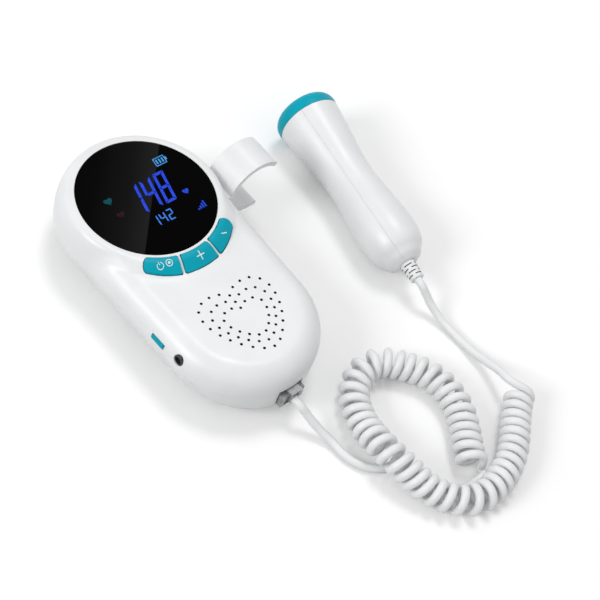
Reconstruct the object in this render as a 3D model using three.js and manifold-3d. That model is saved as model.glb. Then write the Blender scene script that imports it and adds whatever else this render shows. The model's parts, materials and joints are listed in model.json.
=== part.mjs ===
import * as THREE from 'three';
import { mergeVertices } from 'three/addons/utils/BufferGeometryUtils.js';
import Module from 'manifold-3d';

// Handheld fetal heart monitor: a palm-sized unit with a round display, a probe holder on its
// side and an ultrasound probe on a curly cord. Millimetres, +Z up. The origin is the centre of
// the unit's flat underside; the display end is toward +Y and the probe holder toward +X.

const wasm = await Module();
wasm.setup();

// Fits
const fit = 0.3;
const overrun = 2;

// Housing
const bodyLength = 135;
const displayEndRadius = 36.5;
const speakerEndRadius = 34.5;
const topHeight = 30;
const partingHeight = 18;
const lowerEdgeRadius = 12;
const hullHalfWidth = 6;
const hullPower = 1.7;
const hullSteps = 6;
const upperEdgeRadius = 10;
const wall = 2;
const lipHeight = 1.5;
const lipThickness = 0.8;
const arcSteps = 18;
const edgeSteps = 4;

// Display pod, which stands on the display end
const podHeight = 33;
const rimRadius = 31.9;
const podEdgeRun = 4.4;
const podEdgeDrop = 11;
const flareMargin = 1.5;
const flareDrop = 3.4;
const flareHalfAngle = 44;
const flareFadeAngle = 22;
const podSides = 48;
const podSteps = 5;
const lensRadius = 29.8;
const lensThickness = 1.5;
const lensChamfer = 0.2;
const windowRadius = 28;
const ledgeThickness = 1.5;

// Display stack and main board
const panelWidth = 33;
const panelLength = 42;
const panelThickness = 3;
const backlightThickness = 3.2;
const frameWall = 1.6;
const boardTop = 20.5;
const boardThickness = 1.6;
const boardRadius = 31.5;
const boardNeckHalfWidth = 24;
const boardReach = 39.5;
const boardTongueInner = 19.8;
const boardTongueOuter = 31;
const boardTongueInset = 26.5;

// Buttons, arcs round the display rim
const buttonRimOverlap = 0.5;
const buttonWidth = 7.6;
const buttonProud = 0.5;
const buttonTravel = 0.8;
const buttonFlange = 0.8;
const buttonStemRadius = 1.8;
const middleHalfAngle = 12.5;
const sideStartAngle = 15;
const sideEndAngle = 36.7;
const sideEndBulge = 3.2;
const sideTaper = 1.6;
const buttonArcSteps = 5;
const buttonEndSteps = 4;
const switchSide = 6;
const switchHeight = 3.5;
const plungerRadius = 1.7;
const plungerHeight = 0.7;
const pressSlack = 0.1;

// Loudspeaker and its heart-shaped grille
const speakerRadius = 17;
const speakerInset = 30.5;
const speakerDepth = 6.9;
const speakerRimHeight = 2.5;
const magnetRadius = 9;
const magnetHeight = 3;
const speakerRimWidth = 1.5;
const coneThickness = 0.6;
const coneDepth = 2.2;
const dustCapRadius = 4.5;
const dustCapRise = 0.9;
const speakerSides = 28;
const seatWall = 1.4;
const seatDepth = 4;
const heartHalfWidth = 17.62;
const heartCentreShift = 1.8;
const heartMiddleShift = -2;
const heartHeightShare = 0.99;
const heartLobeShare = 0.262;
const heartTipShare = 0.177;
const heartNotchShare = -0.044;
const grilleHoleRadius = 0.6;
const grilleHoleSides = 6;
const grilleRings = [
  { holes: 24, widthShare: 1, heightShare: 1 },
  { holes: 20, widthShare: 0.795, heightShare: 0.744 },
  { holes: 15, widthShare: 0.57, heightShare: 0.505 },
];

// Charging port with its cover, and headphone jack, on the west side
const portInset = 44.2;
const portHeight = 22.1;
const coverLength = 7;
const coverHeight = 2;
const coverThickness = 1.2;
const coverProud = 0.15;
const portWidth = 7.5;
const portDepth = 5.6;
const portThickness = 2.6;
const portMouthWidth = 6.7;
const portMouthHeight = 1.7;
const portMouthDepth = 4.4;
const jackInset = 32.2;
const jackHeight = 23.3;
const jackNoseRadius = 2.5;
const jackBore = 3.6;
const jackBoreDepth = 11;
const jackBodyWidth = 6.4;
const jackBodyHeight = 5;
const jackBodyDepth = 11.5;
const jackProud = 0.2;
const jackSetback = 1.2;

// Battery, its bay and its sliding door
const bayHalfWidth = 16.5;
const bayLength = 45.5;
const bayInset = 13.5;
const bayHeight = 14.2;
const bayWall = 2;
const bayRoof = 1.5;
const doorTop = 11;
const doorTravel = 8;
const doorTabReach = 1.1;
const doorTabRoot = 1.5;
const doorTabLength = 5;
const doorTabThickness = 1.2;
const doorTabPlaces = [5.5, 29.5];
const doorLift = 1.2;
const gripCount = 4;
const gripPitch = 2.4;
const gripWidth = 1.1;
const gripDepth = 0.5;
const gripHalfLength = 8;
const batteryHalfWidth = 14;
const batteryThickness = 9.6;
const connectorLength = 3.4;
const connectorHalfWidth = 4;
const connectorHeight = 5;

// Housing screws, driven from below
const screwHeadRadius = 2.5;
const screwHeadHeight = 1.8;
const screwShankRadius = 1.25;
const screwLength = 15;
const screwSink = 5.6;
const screwSides = 12;
const bossRadius = 3.25;
const lowerBossRadius = 4.5;
const bossSplit = 12.5;
const pilotTop = 23;
const speakerScrewX = 17.5;
const speakerScrewInset = 18.5;
const displayScrewX = 22;
const displayScrewInset = 20.5;

// Cord socket and plug at the speaker end
const socketX = 1;
const socketOpeningHalfWidth = 6.5;
const socketOpeningBottom = 8.6;
const socketOpeningTop = 18;
const socketHalfWidth = 7.5;
const socketBottom = 6.9;
const socketTop = 18.8;
const socketDepth = 13;
const scoopHalfWidth = 11;
const scoopHalfHeight = 6.5;
const scoopHalfDepth = 3;
const scoopBite = 1.2;
const scoopHeight = 13;
const plugHalfWidth = 5.8;
const plugHeight = 6.6;
const plugBottom = 9.2;
const plugInsertion = 10;
const plugVisible = 1.9;
const plugCollarRadius = 2.4;
const plugCollarLength = 1.2;
const latchHalfWidth = 2.9;
const latchThickness = 0.7;
const latchRise = 1.7;
const latchOverhang = 1.3;
const latchSlotHeight = 1.8;

// Probe holder, an open ring on the east side
const holderX = 50;
const holderHeight = 24;
const holderInnerRadius = 12;
const holderWall = 2.3;
const holderInset = 51;
const holderLength = 15.7;
const holderUpperAngle = 50;
const holderLowerAngle = -78;
const holderSteps = 22;
const holderTipSteps = 3;
const holderRootBottom = 16.5;
const holderRootTop = 26;
const holderRootReach = 3.6;
const pegRadius = 2;
const pegHeight = 22.3;
const pegInset = 4;
const pegEnd = 1.6;

// Probe
const probeX = 103.2;
const probeY = 37.2;
const probeHeading = 9.6;
const probeSeamRoll = 35;
const headRadius = 14.8;
const headCrest = 2.5;
const waistShare = 0.757;
const bulgeShare = 0.899;
const bulgePlace = 66;
const probeShellLength = 84;
const capDepth = 8;
const probeWall = 2;
const probeSides = 24;
const probeTailSpace = 3.7;
const spigotDepth = 4;
const spigotRadius = 12;
const crystalRadius = 9.7;
const crystalThickness = 1.2;
const crystalGap = 1;
const backingThickness = 2.2;
const probeBoardStart = 8;
const probeBoardEnd = 62;
const probeBoardThickness = 1.6;
const reliefRadius = 3.7;
const reliefEndRadius = 3;
const reliefLength = 8.5;
const reliefFlangeRadius = 5;
const reliefFlangeThickness = 2;
const reliefSlots = 4;
const reliefSlotWidth = 0.8;
const reliefSlotDepth = 1;
const reliefSides = 12;

// Probe outline: place from the shell's front end as a share of the shell's length, and radius
// as a share of the head's radius
const probeProfileShares = [
  [0, 0.986], [0.071, 0.946], [0.143, 0.899], [0.214, 0.845], [0.286, 0.797], [0.381, 0.757],
  [0.476, 0.757], [0.595, 0.818], [0.69, 0.865], [0.786, 0.899], [0.857, 0.878], [0.917, 0.791],
  [0.952, 0.642], [0.976, 0.541], [1, 0.338],
];

// Cap outline: place forward of the shell's front end as a share of the cap's depth, and radius
// as a share of the head's radius
const capProfileShares = [
  [1, 0.3], [0.94, 0.709], [0.81, 0.878], [0.56, 0.973], [0.31, 1],
];

// Cord
const cordDiameter = 3.9;
const coilDiameter = 13.6;
const coilInnerPitch = 4.2;
const coilEndTurn = 0.25;
const coilStepsPerTurn = 8;
const coilSides = 5;
const tailSides = 8;
const tailStep = 5.5;

// Centreline of the curly stretch as it lies on the table, from the probe's end to the unit's
const coilRoute = [
  [89.6, -120, 6.85], [84.2, -123.5, 6.85], [76.6, -130, 6.85], [68.5, -137, 6.85],
  [59, -142.6, 6.85], [48.5, -145.8, 6.85], [42.7, -146.4, 6.85], [37.1, -145.6, 6.85],
  [32.4, -143.2, 6.85], [28.5, -139.5, 6.85], [23.5, -131.5, 7.1], [19.8, -119.1, 10.5],
  [18.4, -112.4, 11.5], [18.3, -105.9, 10.8], [20.7, -94.1, 7.6], [25, -83.9, 6.85],
  [31.9, -76.7, 6.85], [40.7, -73.7, 6.85], [49, -75.8, 6.85], [55.7, -82.4, 6.85],
  [61.2, -90.2, 6.85], [63.3, -99.8, 6.85], [61.4, -110.2, 6.85], [55.6, -120.3, 6.85],
  [49.8, -128.6, 6.85], [48, -132.5, 6.85],
];

// Straight stretch from the probe to the coil, between its square ends
const probeTailRoute = [
  [87.7, -60.6, 9.9], [88.3, -64.6, 6.5], [88.9, -69, 4.1], [89.3, -74, 2.5],
  [89.7, -80, 2.05], [89.9, -86, 2.1], [89.8, -93, 3.2], [89.7, -100, 5.4],
  [89, -107, 8.6], [87.9, -112.6, 11.2],
];

// Straight stretch from the unit's plug under the coil to its other end
const unitTailRoute = [
  [2.4, -77, 10], [3.9, -81.5, 6.8], [5.7, -86.5, 4], [7, -91.5, 2.5],
  [7.4, -97, 2.05], [8.3, -102, 2.05], [10.5, -106.5, 2.05], [13.9, -110.3, 2.05],
  [17.8, -112.3, 2.05], [22.3, -113.4, 2.05], [26.3, -116, 2.05], [28.9, -120.2, 2.05],
  [30.2, -125, 2.05], [32, -130, 2.05], [34.8, -134.3, 2.05], [38.6, -137.4, 2.05],
  [43.2, -138.4, 2.05], [48, -138.3, 2.05], [51.4, -137.9, 2.5],
];

// Places worked out from the sizes above
const displayY = bodyLength / 2 - displayEndRadius;
const speakerEndY = speakerEndRadius - bodyLength / 2;
const speakerY = speakerInset - bodyLength / 2;
const heartCentreY = speakerY + heartCentreShift;
const heartMiddleY = speakerY + heartMiddleShift;
const portY = portInset - bodyLength / 2;
const jackY = jackInset - bodyLength / 2;
const boardTongueEnd = bodyLength / 2 - boardTongueInset;
const bayEnd = bodyLength / 2 - bayInset;
const bayStart = bayEnd - bayLength;
const doorTabStarts = doorTabPlaces.map((place) => bayStart + place);
const speakerScrewY = speakerScrewInset - bodyLength / 2;
const displayScrewY = bodyLength / 2 - displayScrewInset;
const holderStart = bodyLength / 2 - holderInset;
const buttonInnerRadius = rimRadius - buttonRimOverlap;
const buttonOuterRadius = buttonInnerRadius + buttonWidth;
const flareRun = buttonWidth + flareMargin;
const hullReach = speakerEndRadius - hullHalfWidth;
const lean = Math.asin((speakerEndRadius - displayEndRadius) / (displayY - speakerEndY));
const lensBottom = podHeight - lensThickness;
const ledgeTop = lensBottom - fit;
const ledgeBottom = ledgeTop - ledgeThickness;
const panelTop = lensBottom - fit - fit / 3;
const panelBottom = panelTop - panelThickness;
const topInside = topHeight - wall;
const switchTop = boardTop + fit + switchHeight + plungerHeight;
const flangeTop = topInside - fit;
const wireRadius = cordDiameter / 2;
const helixRadius = (coilDiameter - cordDiameter) / 2;
const holderEnd = holderStart + holderLength;
const holderOuterRadius = holderInnerRadius + holderWall;
const pegPlaces = [holderStart + pegInset, holderEnd - pegInset];
const screwPlaces = [
  [-speakerScrewX, speakerScrewY],
  [speakerScrewX, speakerScrewY],
  [-displayScrewX, displayScrewY],
  [displayScrewX, displayScrewY],
];
const bulgeRadius = bulgeShare * headRadius;
const waistRadius = waistShare * headRadius;
const plugTop = plugBottom + plugHeight;
const plugMiddle = plugBottom + plugHeight / 2;
const plugOuter = -bodyLength / 2 - plugVisible;
const cordExit = plugOuter - plugCollarLength;

// Materials
const white = { color: 0xf1f3f5, roughness: 0.35, metalness: 0 };
const teal = { color: 0x0a9fb4, roughness: 0.4, metalness: 0 };
const glass = { color: 0x08090b, roughness: 0.08, metalness: 0 };
const panelBlack = { color: 0x11131c, roughness: 0.5, metalness: 0 };
const diffuser = { color: 0xe9ecf0, roughness: 0.6, metalness: 0 };
const boardGreen = { color: 0x1c6b3a, roughness: 0.55, metalness: 0 };
const steel = { color: 0xb9bcc0, roughness: 0.35, metalness: 1 };
const blackPlastic = { color: 0x1b1c1f, roughness: 0.5, metalness: 0 };
const greyPlastic = { color: 0x9ea3a8, roughness: 0.4, metalness: 0 };
const silverFoil = { color: 0xc3c7cc, roughness: 0.45, metalness: 0.2 };
const ceramic = { color: 0xd8cfae, roughness: 0.6, metalness: 0 };
const cordWhite = { color: 0xf3f4f6, roughness: 0.5, metalness: 0 };

const monitor = new THREE.Group();
monitor.name = 'fetal_heart_monitor';

// A closed manifold solid from any closed geometry
function toSolid(geometry) {
  const bare = new THREE.BufferGeometry();
  bare.setAttribute('position', geometry.getAttribute('position').clone());
  if (geometry.index) bare.setIndex(geometry.index.clone());
  const merged = mergeVertices(bare);
  const points = merged.getAttribute('position');
  const corners = [];
  const a = new THREE.Vector3();
  const b = new THREE.Vector3();
  const c = new THREE.Vector3();
  let volume = 0;
  for (let i = 0; i < merged.index.count; i += 3) {
    const p = merged.index.getX(i);
    const q = merged.index.getX(i + 1);
    const r = merged.index.getX(i + 2);
    if (p === q || q === r || r === p) continue;
    corners.push(p, q, r);
    a.fromBufferAttribute(points, p);
    b.fromBufferAttribute(points, q);
    c.fromBufferAttribute(points, r);
    volume += a.dot(b.cross(c));
  }
  if (volume < 0) corners.reverse();
  return new wasm.Manifold(new wasm.Mesh({
    numProp: 3,
    vertProperties: Float32Array.from(points.array),
    triVerts: Uint32Array.from(corners),
  }));
}

// The triangles of a solid as a geometry
function toGeometry(solid) {
  const mesh = solid.getMesh();
  const geometry = new THREE.BufferGeometry();
  geometry.setAttribute('position', new THREE.BufferAttribute(mesh.vertProperties, 3));
  geometry.setIndex(new THREE.BufferAttribute(mesh.triVerts, 1));
  geometry.computeVertexNormals();
  return geometry;
}

function addPart(name, solid, look, parent = monitor) {
  const mesh = new THREE.Mesh(toGeometry(solid), new THREE.MeshStandardMaterial(look));
  mesh.name = name;
  parent.add(mesh);
  return mesh;
}

function join(solids) {
  return solids.reduce((sum, next) => sum.add(next));
}

function box(x0, x1, y0, y1, z0, z1) {
  const block = new THREE.BoxGeometry(x1 - x0, y1 - y0, z1 - z0);
  block.translate((x0 + x1) / 2, (y0 + y1) / 2, (z0 + z1) / 2);
  return toSolid(block);
}

// An upright cylinder
function post(radius, x, y, z0, z1, sides) {
  const shape = new THREE.CylinderGeometry(radius, radius, z1 - z0, sides);
  shape.rotateX(Math.PI / 2);
  shape.translate(x, y, (z0 + z1) / 2);
  return toSolid(shape);
}

// A cylinder along X
function pin(radius, x0, x1, y, z, sides) {
  const shape = new THREE.CylinderGeometry(radius, radius, x1 - x0, sides);
  shape.rotateZ(Math.PI / 2);
  shape.translate((x0 + x1) / 2, y, z);
  return toSolid(shape);
}

// A solid of revolution round an upright axis from its radius and height pairs
function revolve(profile, sides, x = 0, y = 0) {
  const shape = new THREE.LatheGeometry(profile.map(([r, z]) => new THREE.Vector2(r, z)), sides);
  shape.rotateX(Math.PI / 2);
  shape.translate(x, y, 0);
  return toSolid(shape);
}

function prism(points, z0, z1) {
  const outline = new THREE.Shape(points);
  const shape = new THREE.ExtrudeGeometry(outline, { depth: z1 - z0, bevelEnabled: false });
  shape.translate(0, 0, z0);
  return toSolid(shape);
}

// A closed solid through a stack of rings that have the same number of points
function loft(rings) {
  const count = rings[0].length;
  const positions = rings.flat().flatMap((point) => point.toArray());
  const index = [];
  for (let k = 0; k + 1 < rings.length; k += 1) {
    for (let i = 0; i < count; i += 1) {
      const j = (i + 1) % count;
      const low = k * count;
      const high = low + count;
      index.push(low + i, low + j, high + j, low + i, high + j, high + i);
    }
  }
  const ends = [rings[0], rings[rings.length - 1]];
  ends.forEach((ring, end) => {
    const centre = ring.reduce((sum, point) => sum.add(point), new THREE.Vector3());
    centre.divideScalar(count);
    const hub = positions.length / 3;
    positions.push(...centre.toArray());
    const start = end * (rings.length - 1) * count;
    for (let i = 0; i < count; i += 1) {
      const j = (i + 1) % count;
      if (end === 0) index.push(hub, start + j, start + i);
      else index.push(hub, start + i, start + j);
    }
  });
  const geometry = new THREE.BufferGeometry();
  geometry.setAttribute('position', new THREE.Float32BufferAttribute(positions, 3));
  geometry.setIndex(index);
  return toSolid(geometry);
}

// The housing's plan outline, two end arcs and their tangents, drawn in by an inset that may be
// less at its two ends
function outlineRing(inset, height, endInset = inset) {
  const ring = [];
  const shift = inset - endInset;
  const tilt = Math.asin((speakerEndRadius - displayEndRadius) / (displayY - speakerEndY + shift * 2));
  const arc = (centreY, radius, from, to) => {
    for (let i = 0; i <= arcSteps; i += 1) {
      const angle = from + (to - from) * (i / arcSteps);
      const x = radius * Math.cos(angle);
      const y = centreY + radius * Math.sin(angle);
      ring.push(new THREE.Vector3(x, y, height));
    }
  };
  arc(displayY + shift, displayEndRadius - inset, tilt, Math.PI - tilt);
  arc(speakerEndY - shift, speakerEndRadius - inset, Math.PI - tilt, Math.PI * 2 + tilt);
  return ring;
}

// Rings of the hull-shaped lower half, at a depth below the outer surface: its sides draw in over
// the whole height and its ends round off over the lower edge's radius
function lowerEdgeRings(depth) {
  const rings = [];
  for (let i = 0; i <= hullSteps; i += 1) {
    const fall = Math.cos((Math.PI / 2) * (i / hullSteps));
    const height = partingHeight - (partingHeight - depth) * fall;
    const side = hullReach - (hullReach - depth) * Math.sqrt(Math.max(0, 1 - fall ** hullPower));
    const radius = lowerEdgeRadius - depth;
    const drop = THREE.MathUtils.clamp((lowerEdgeRadius - height) / radius, 0, 1);
    rings.push(outlineRing(side, height, lowerEdgeRadius - radius * Math.sqrt(1 - drop ** 2)));
  }
  return rings;
}

// Rings of the rounded upper edge, at a depth below the outer surface
function upperEdgeRings(depth) {
  const rings = [];
  for (let i = edgeSteps; i >= 0; i -= 1) {
    const angle = (Math.PI / 2) * (i / edgeSteps);
    const radius = upperEdgeRadius - depth;
    const inset = upperEdgeRadius - radius * Math.sin(angle);
    const height = topHeight - upperEdgeRadius + radius * Math.cos(angle);
    rings.push(outlineRing(inset, height));
  }
  return rings;
}

// Half-width of the housing's straight side at a place along it
function sideX(y) {
  return (displayEndRadius + (displayY - y) * Math.sin(lean)) / Math.cos(lean);
}

// The pod: a drum with a rounded edge, whose skirt widens under the buttons
function podSolid(grow) {
  const rings = [];
  const ring = (place) => {
    const points = [];
    for (let k = 0; k < podSides; k += 1) {
      const angle = (Math.PI * 2 * k) / podSides;
      const off = Math.abs(THREE.MathUtils.radToDeg(Math.asin(Math.sin((angle + Math.PI / 2) / 2))) * 2);
      const away = off > 180 ? 360 - off : off;
      const fade = THREE.MathUtils.smoothstep(away, flareHalfAngle, flareHalfAngle + flareFadeAngle);
      const share = 1 - fade;
      const [radius, height] = place(share);
      const x = radius * Math.cos(angle);
      const y = displayY + radius * Math.sin(angle);
      points.push(new THREE.Vector3(x, y, height));
    }
    return points;
  };
  rings.push(ring(() => [rimRadius, partingHeight + lipHeight]));
  for (let i = podSteps; i >= 0; i -= 1) {
    const t = i / podSteps;
    const angle = (Math.PI / 2) * t;
    const fall = THREE.MathUtils.smoothstep(t, 0, 1);
    rings.push(ring((share) => [
      grow + rimRadius + share * flareRun * t + (1 - share) * podEdgeRun * Math.sin(angle),
      grow + podHeight - share * flareDrop * fall
        - (1 - share) * podEdgeDrop * (1 - Math.cos(angle)),
    ]));
  }
  return loft(rings);
}

// The hollow under the pod, up to the ledge that carries the lens
function podHollow() {
  const topRadius = lensRadius + fit;
  const foot = displayEndRadius - wall;
  const profile = [[0, partingHeight], [foot, partingHeight]];
  for (let i = podSteps; i >= 0; i -= 1) {
    const angle = (Math.PI / 2) * (i / podSteps);
    profile.push([
      topRadius + (foot - topRadius) * Math.sin(angle),
      ledgeBottom - (podEdgeDrop - wall) * (1 - Math.cos(angle)),
    ]);
  }
  profile.push([0, ledgeBottom]);
  return revolve(profile, podSides, 0, displayY);
}

// Outline of a button: an arc round the display with an end that may bulge
function buttonOutline(from, to, bulgeFrom, bulgeTo, growRadius, growAngle) {
  const inner = buttonInnerRadius - growRadius;
  const outerAt = (degrees) => buttonOuterRadius + growRadius - sideTaper
    * THREE.MathUtils.mapLinear(Math.max(Math.abs(degrees), sideStartAngle), sideStartAngle, sideEndAngle, 0, 1);
  const turn = THREE.MathUtils.radToDeg(growAngle / buttonOuterRadius);
  const points = [];
  const put = (radius, degrees) => {
    const angle = THREE.MathUtils.degToRad(degrees);
    const x = radius * Math.sin(angle);
    const y = displayY - radius * Math.cos(angle);
    points.push(new THREE.Vector2(x, y));
  };
  const cap = (degrees, bulge, outward) => {
    for (let k = 1; bulge !== 0 && k < buttonEndSteps; k += 1) {
      const angle = (Math.PI * k) / buttonEndSteps;
      const share = (1 + outward * Math.cos(angle)) / 2;
      put(inner + (outerAt(degrees) - inner) * share, degrees + bulge * Math.sin(angle));
    }
  };
  const start = from - turn;
  const end = to + turn;
  for (let i = 0; i <= buttonArcSteps; i += 1) {
    const degrees = start + (end - start) * (i / buttonArcSteps);
    put(outerAt(degrees), degrees);
  }
  cap(end, bulgeTo, 1);
  for (let i = buttonArcSteps; i >= 0; i -= 1) {
    put(inner, start + (end - start) * (i / buttonArcSteps));
  }
  cap(start, -bulgeFrom, -1);
  return points;
}

const buttons = [
  { name: 'power', from: -sideEndAngle, to: -sideStartAngle, bulgeFrom: sideEndBulge, bulgeTo: 0 },
  { name: 'plus', from: -middleHalfAngle, to: middleHalfAngle, bulgeFrom: 0, bulgeTo: 0 },
  { name: 'minus', from: sideStartAngle, to: sideEndAngle, bulgeFrom: 0, bulgeTo: sideEndBulge },
];

function buttonPrism(button, growRadius, growAngle, z0, z1) {
  const { from, to, bulgeFrom, bulgeTo } = button;
  return prism(buttonOutline(from, to, bulgeFrom, bulgeTo, growRadius, growAngle), z0, z1);
}

function buttonCentre(button) {
  const angle = THREE.MathUtils.degToRad((button.from + button.to) / 2);
  const radius = (buttonInnerRadius + buttonOuterRadius) / 2;
  return [radius * Math.sin(angle), displayY - radius * Math.cos(angle)];
}

// A point of the heart outline, from its notch round its east side to its tip and back
function heartPoint(t, widthShare, heightShare) {
  const x = heartHalfWidth * Math.sin(t) ** 3;
  const y = heartCentreY + heartHalfWidth * (heartHeightShare * Math.cos(t)
    - heartLobeShare * Math.cos(2 * t)
    - heartTipShare * Math.cos(3 * t)
    - heartNotchShare * Math.cos(4 * t));
  return new THREE.Vector2(x * widthShare, heartMiddleY + (y - heartMiddleY) * heightShare);
}

// Holes of the grille, evenly spaced along each heart
function grilleHoles() {
  const solids = [];
  const samples = 720;
  grilleRings.forEach(({ holes, widthShare, heightShare }) => {
    const points = [];
    const lengths = [0];
    for (let i = 0; i <= samples; i += 1) {
      points.push(heartPoint((Math.PI * 2 * i) / samples, widthShare, heightShare));
      if (i > 0) lengths.push(lengths[i - 1] + points[i].distanceTo(points[i - 1]));
    }
    for (let k = 0; k < holes; k += 1) {
      const goal = (lengths[samples] * k) / holes;
      const at = lengths.findIndex((length) => length >= goal);
      const { x, y } = points[at];
      solids.push(post(grilleHoleRadius, x, y, topInside - overrun, topHeight + overrun, grilleHoleSides));
    }
  });
  return join(solids);
}

function socketCuts() {
  const end = -bodyLength / 2;
  const opening = box(
    socketX - socketOpeningHalfWidth, socketX + socketOpeningHalfWidth,
    end - overrun, end + wall + fit, socketOpeningBottom, socketOpeningTop,
  );
  const scoop = new THREE.SphereGeometry(1, 24, 12);
  scoop.scale(scoopHalfWidth, scoopHalfDepth, scoopHalfHeight);
  scoop.translate(socketX, end + scoopBite - scoopHalfDepth, scoopHeight);
  const room = box(
    socketX - socketHalfWidth - fit, socketX + socketHalfWidth + fit,
    end + wall, end + wall + fit + socketDepth + fit, socketBottom - fit, socketTop + fit,
  );
  return join([opening, toSolid(scoop), room]);
}

function upperShell() {
  const skin = loft([outlineRing(0, partingHeight + fit / 2), ...upperEdgeRings(0)]);
  const lipInset = wall - lipThickness - fit;
  const lipTop = partingHeight + lipHeight + fit;
  const hollow = loft([
    outlineRing(lipInset, partingHeight - overrun), outlineRing(lipInset, lipTop),
    outlineRing(wall, lipTop), ...upperEdgeRings(wall),
  ]);
  const seat = post(speakerRadius + fit + seatWall, 0, speakerY, topInside - seatDepth, topInside + wall / 2, speakerSides)
    .subtract(post(speakerRadius + fit, 0, speakerY, topInside - seatDepth - overrun, topInside, speakerSides));
  const bosses = screwPlaces.map(([x, y]) => {
    const top = y > 0 ? ledgeTop - ledgeThickness / 2 : topInside + wall / 2;
    return post(bossRadius, x, y, bossSplit + fit / 2, top, 16);
  });
  const pilots = screwPlaces.map(([x, y]) => (
    post(screwShankRadius + fit, x, y, bossSplit - overrun, pilotTop, screwSides)));
  const slots = buttons.map((button) => (
    buttonPrism(button, fit, fit, topInside - overrun, podHeight + overrun)));
  const recess = post(lensRadius + fit, 0, displayY, ledgeTop, podHeight + overrun, podSides);
  const window = post(windowRadius, 0, displayY, ledgeBottom - overrun, podHeight + overrun, podSides);
  const westX = -sideX(portY);
  const coverSpace = box(
    westX - overrun, westX + coverThickness + fit,
    portY - coverLength / 2 - fit, portY + coverLength / 2 + fit,
    portHeight - coverHeight / 2 - fit, portHeight + coverHeight / 2 + fit,
  );
  const portHole = box(
    westX - overrun, westX + wall + overrun,
    portY - portMouthWidth / 2, portY + portMouthWidth / 2,
    portHeight - portMouthHeight / 2, portHeight + portMouthHeight / 2,
  );
  const jackHole = pin(
    jackNoseRadius + fit, -sideX(jackY) - overrun, -sideX(jackY) + wall + overrun, jackY, jackHeight, 20,
  );
  const portX = westX + wall;
  const portRoom = box(
    portX, portX + fit + portDepth + fit,
    portY - portWidth / 2 - fit, portY + portWidth / 2 + fit,
    portHeight - portThickness / 2 - fit, portHeight + portThickness / 2 + fit,
  );
  const jackX = -sideX(jackY) + wall + fit + jackSetback;
  const jackRoom = box(
    jackX, jackX + jackBodyDepth + fit,
    jackY - jackBodyWidth / 2 - fit, jackY + jackBodyWidth / 2 + fit,
    jackHeight - jackBodyHeight / 2 - fit, jackHeight + jackBodyHeight / 2 + fit,
  );
  const pegHoles = pegPlaces.map((y) => (
    pin(pegRadius + fit, sideX(y) - wall - overrun, sideX(y) + overrun, y, pegHeight, 16)));
  return skin.add(podSolid(0)).subtract(hollow).subtract(podHollow())
    .add(join([seat, ...bosses]))
    .subtract(join([...pilots, ...slots, recess, window]))
    .subtract(join([coverSpace, portHole, portRoom, jackHole, jackRoom, ...pegHoles]))
    .subtract(socketCuts())
    .subtract(grilleHoles());
}

// The part of the lower shell's wall that the battery door takes
function doorZone(clear) {
  return box(
    -bayHalfWidth + clear, bayHalfWidth - clear,
    bayStart + clear, bodyLength / 2 + overrun, -overrun, doorTop + fit - clear,
  );
}

function lowerSkin(grow) {
  return loft([...lowerEdgeRings(-grow), outlineRing(-grow, partingHeight - fit / 2)]);
}

function lowerHollow(depth) {
  return loft([...lowerEdgeRings(depth), outlineRing(depth, partingHeight + lipHeight + overrun)]);
}

function doorTabPockets() {
  const pockets = [];
  [-1, 1].forEach((side) => {
    doorTabStarts.forEach((start) => {
      const x0 = side * (bayHalfWidth - overrun);
      const x1 = side * (bayHalfWidth + doorTabReach + fit);
      const stop = start + doorTabLength + doorTravel + fit;
      const left = Math.min(x0, x1);
      const right = Math.max(x0, x1);
      const floor = wall + doorLift;
      const roof = floor + doorTabThickness + fit + fit;
      pockets.push(box(left, right, start - fit, stop, floor, roof));
      pockets.push(box(left, right, start + doorTravel - fit, stop, -overrun, roof));
    });
  });
  return join(pockets);
}

function lowerShell() {
  const skin = lowerSkin(0);
  const lip = loft([
    outlineRing(wall - lipThickness, partingHeight - overrun),
    outlineRing(wall - lipThickness, partingHeight + lipHeight),
  ]);
  const shell = skin.add(lip).subtract(lowerHollow(wall));
  const doorSpace = lowerSkin(overrun).subtract(lowerHollow(wall + fit)).intersect(doorZone(0));
  const outerX = bayHalfWidth + bayWall;
  const roofTop = bayHeight + bayRoof;
  const bay = box(-outerX, outerX, bayStart - bayWall, bayEnd, 0, roofTop)
    .subtract(box(-bayHalfWidth, bayHalfWidth, bayStart, bayEnd + overrun, -overrun, bayHeight))
    .add(box(-outerX, outerX, bayEnd, bayEnd + bayWall, wall + fit, roofTop));
  const bosses = screwPlaces.map(([x, y]) => (
    post(lowerBossRadius, x, y, 0, bossSplit - fit / 2, 18)));
  const bench = box(
    socketX - socketOpeningHalfWidth, socketX + socketOpeningHalfWidth,
    -bodyLength / 2 + lowerEdgeRadius / 2, -bodyLength / 2 + wall + fit + socketDepth,
    wall / 2, socketBottom - fit,
  );
  const wells = screwPlaces.map(([x, y]) => {
    const seat = screwSink + screwHeadHeight + fit;
    return post(screwHeadRadius + fit, x, y, -overrun, seat, 18)
      .add(post(screwShankRadius + fit, x, y, 0, bossSplit + overrun, screwSides));
  });
  return shell.add(join([bay, ...bosses, bench]).intersect(skin))
    .subtract(doorSpace).subtract(join([doorTabPockets(), ...wells]))
    .subtract(socketCuts());
}

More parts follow.
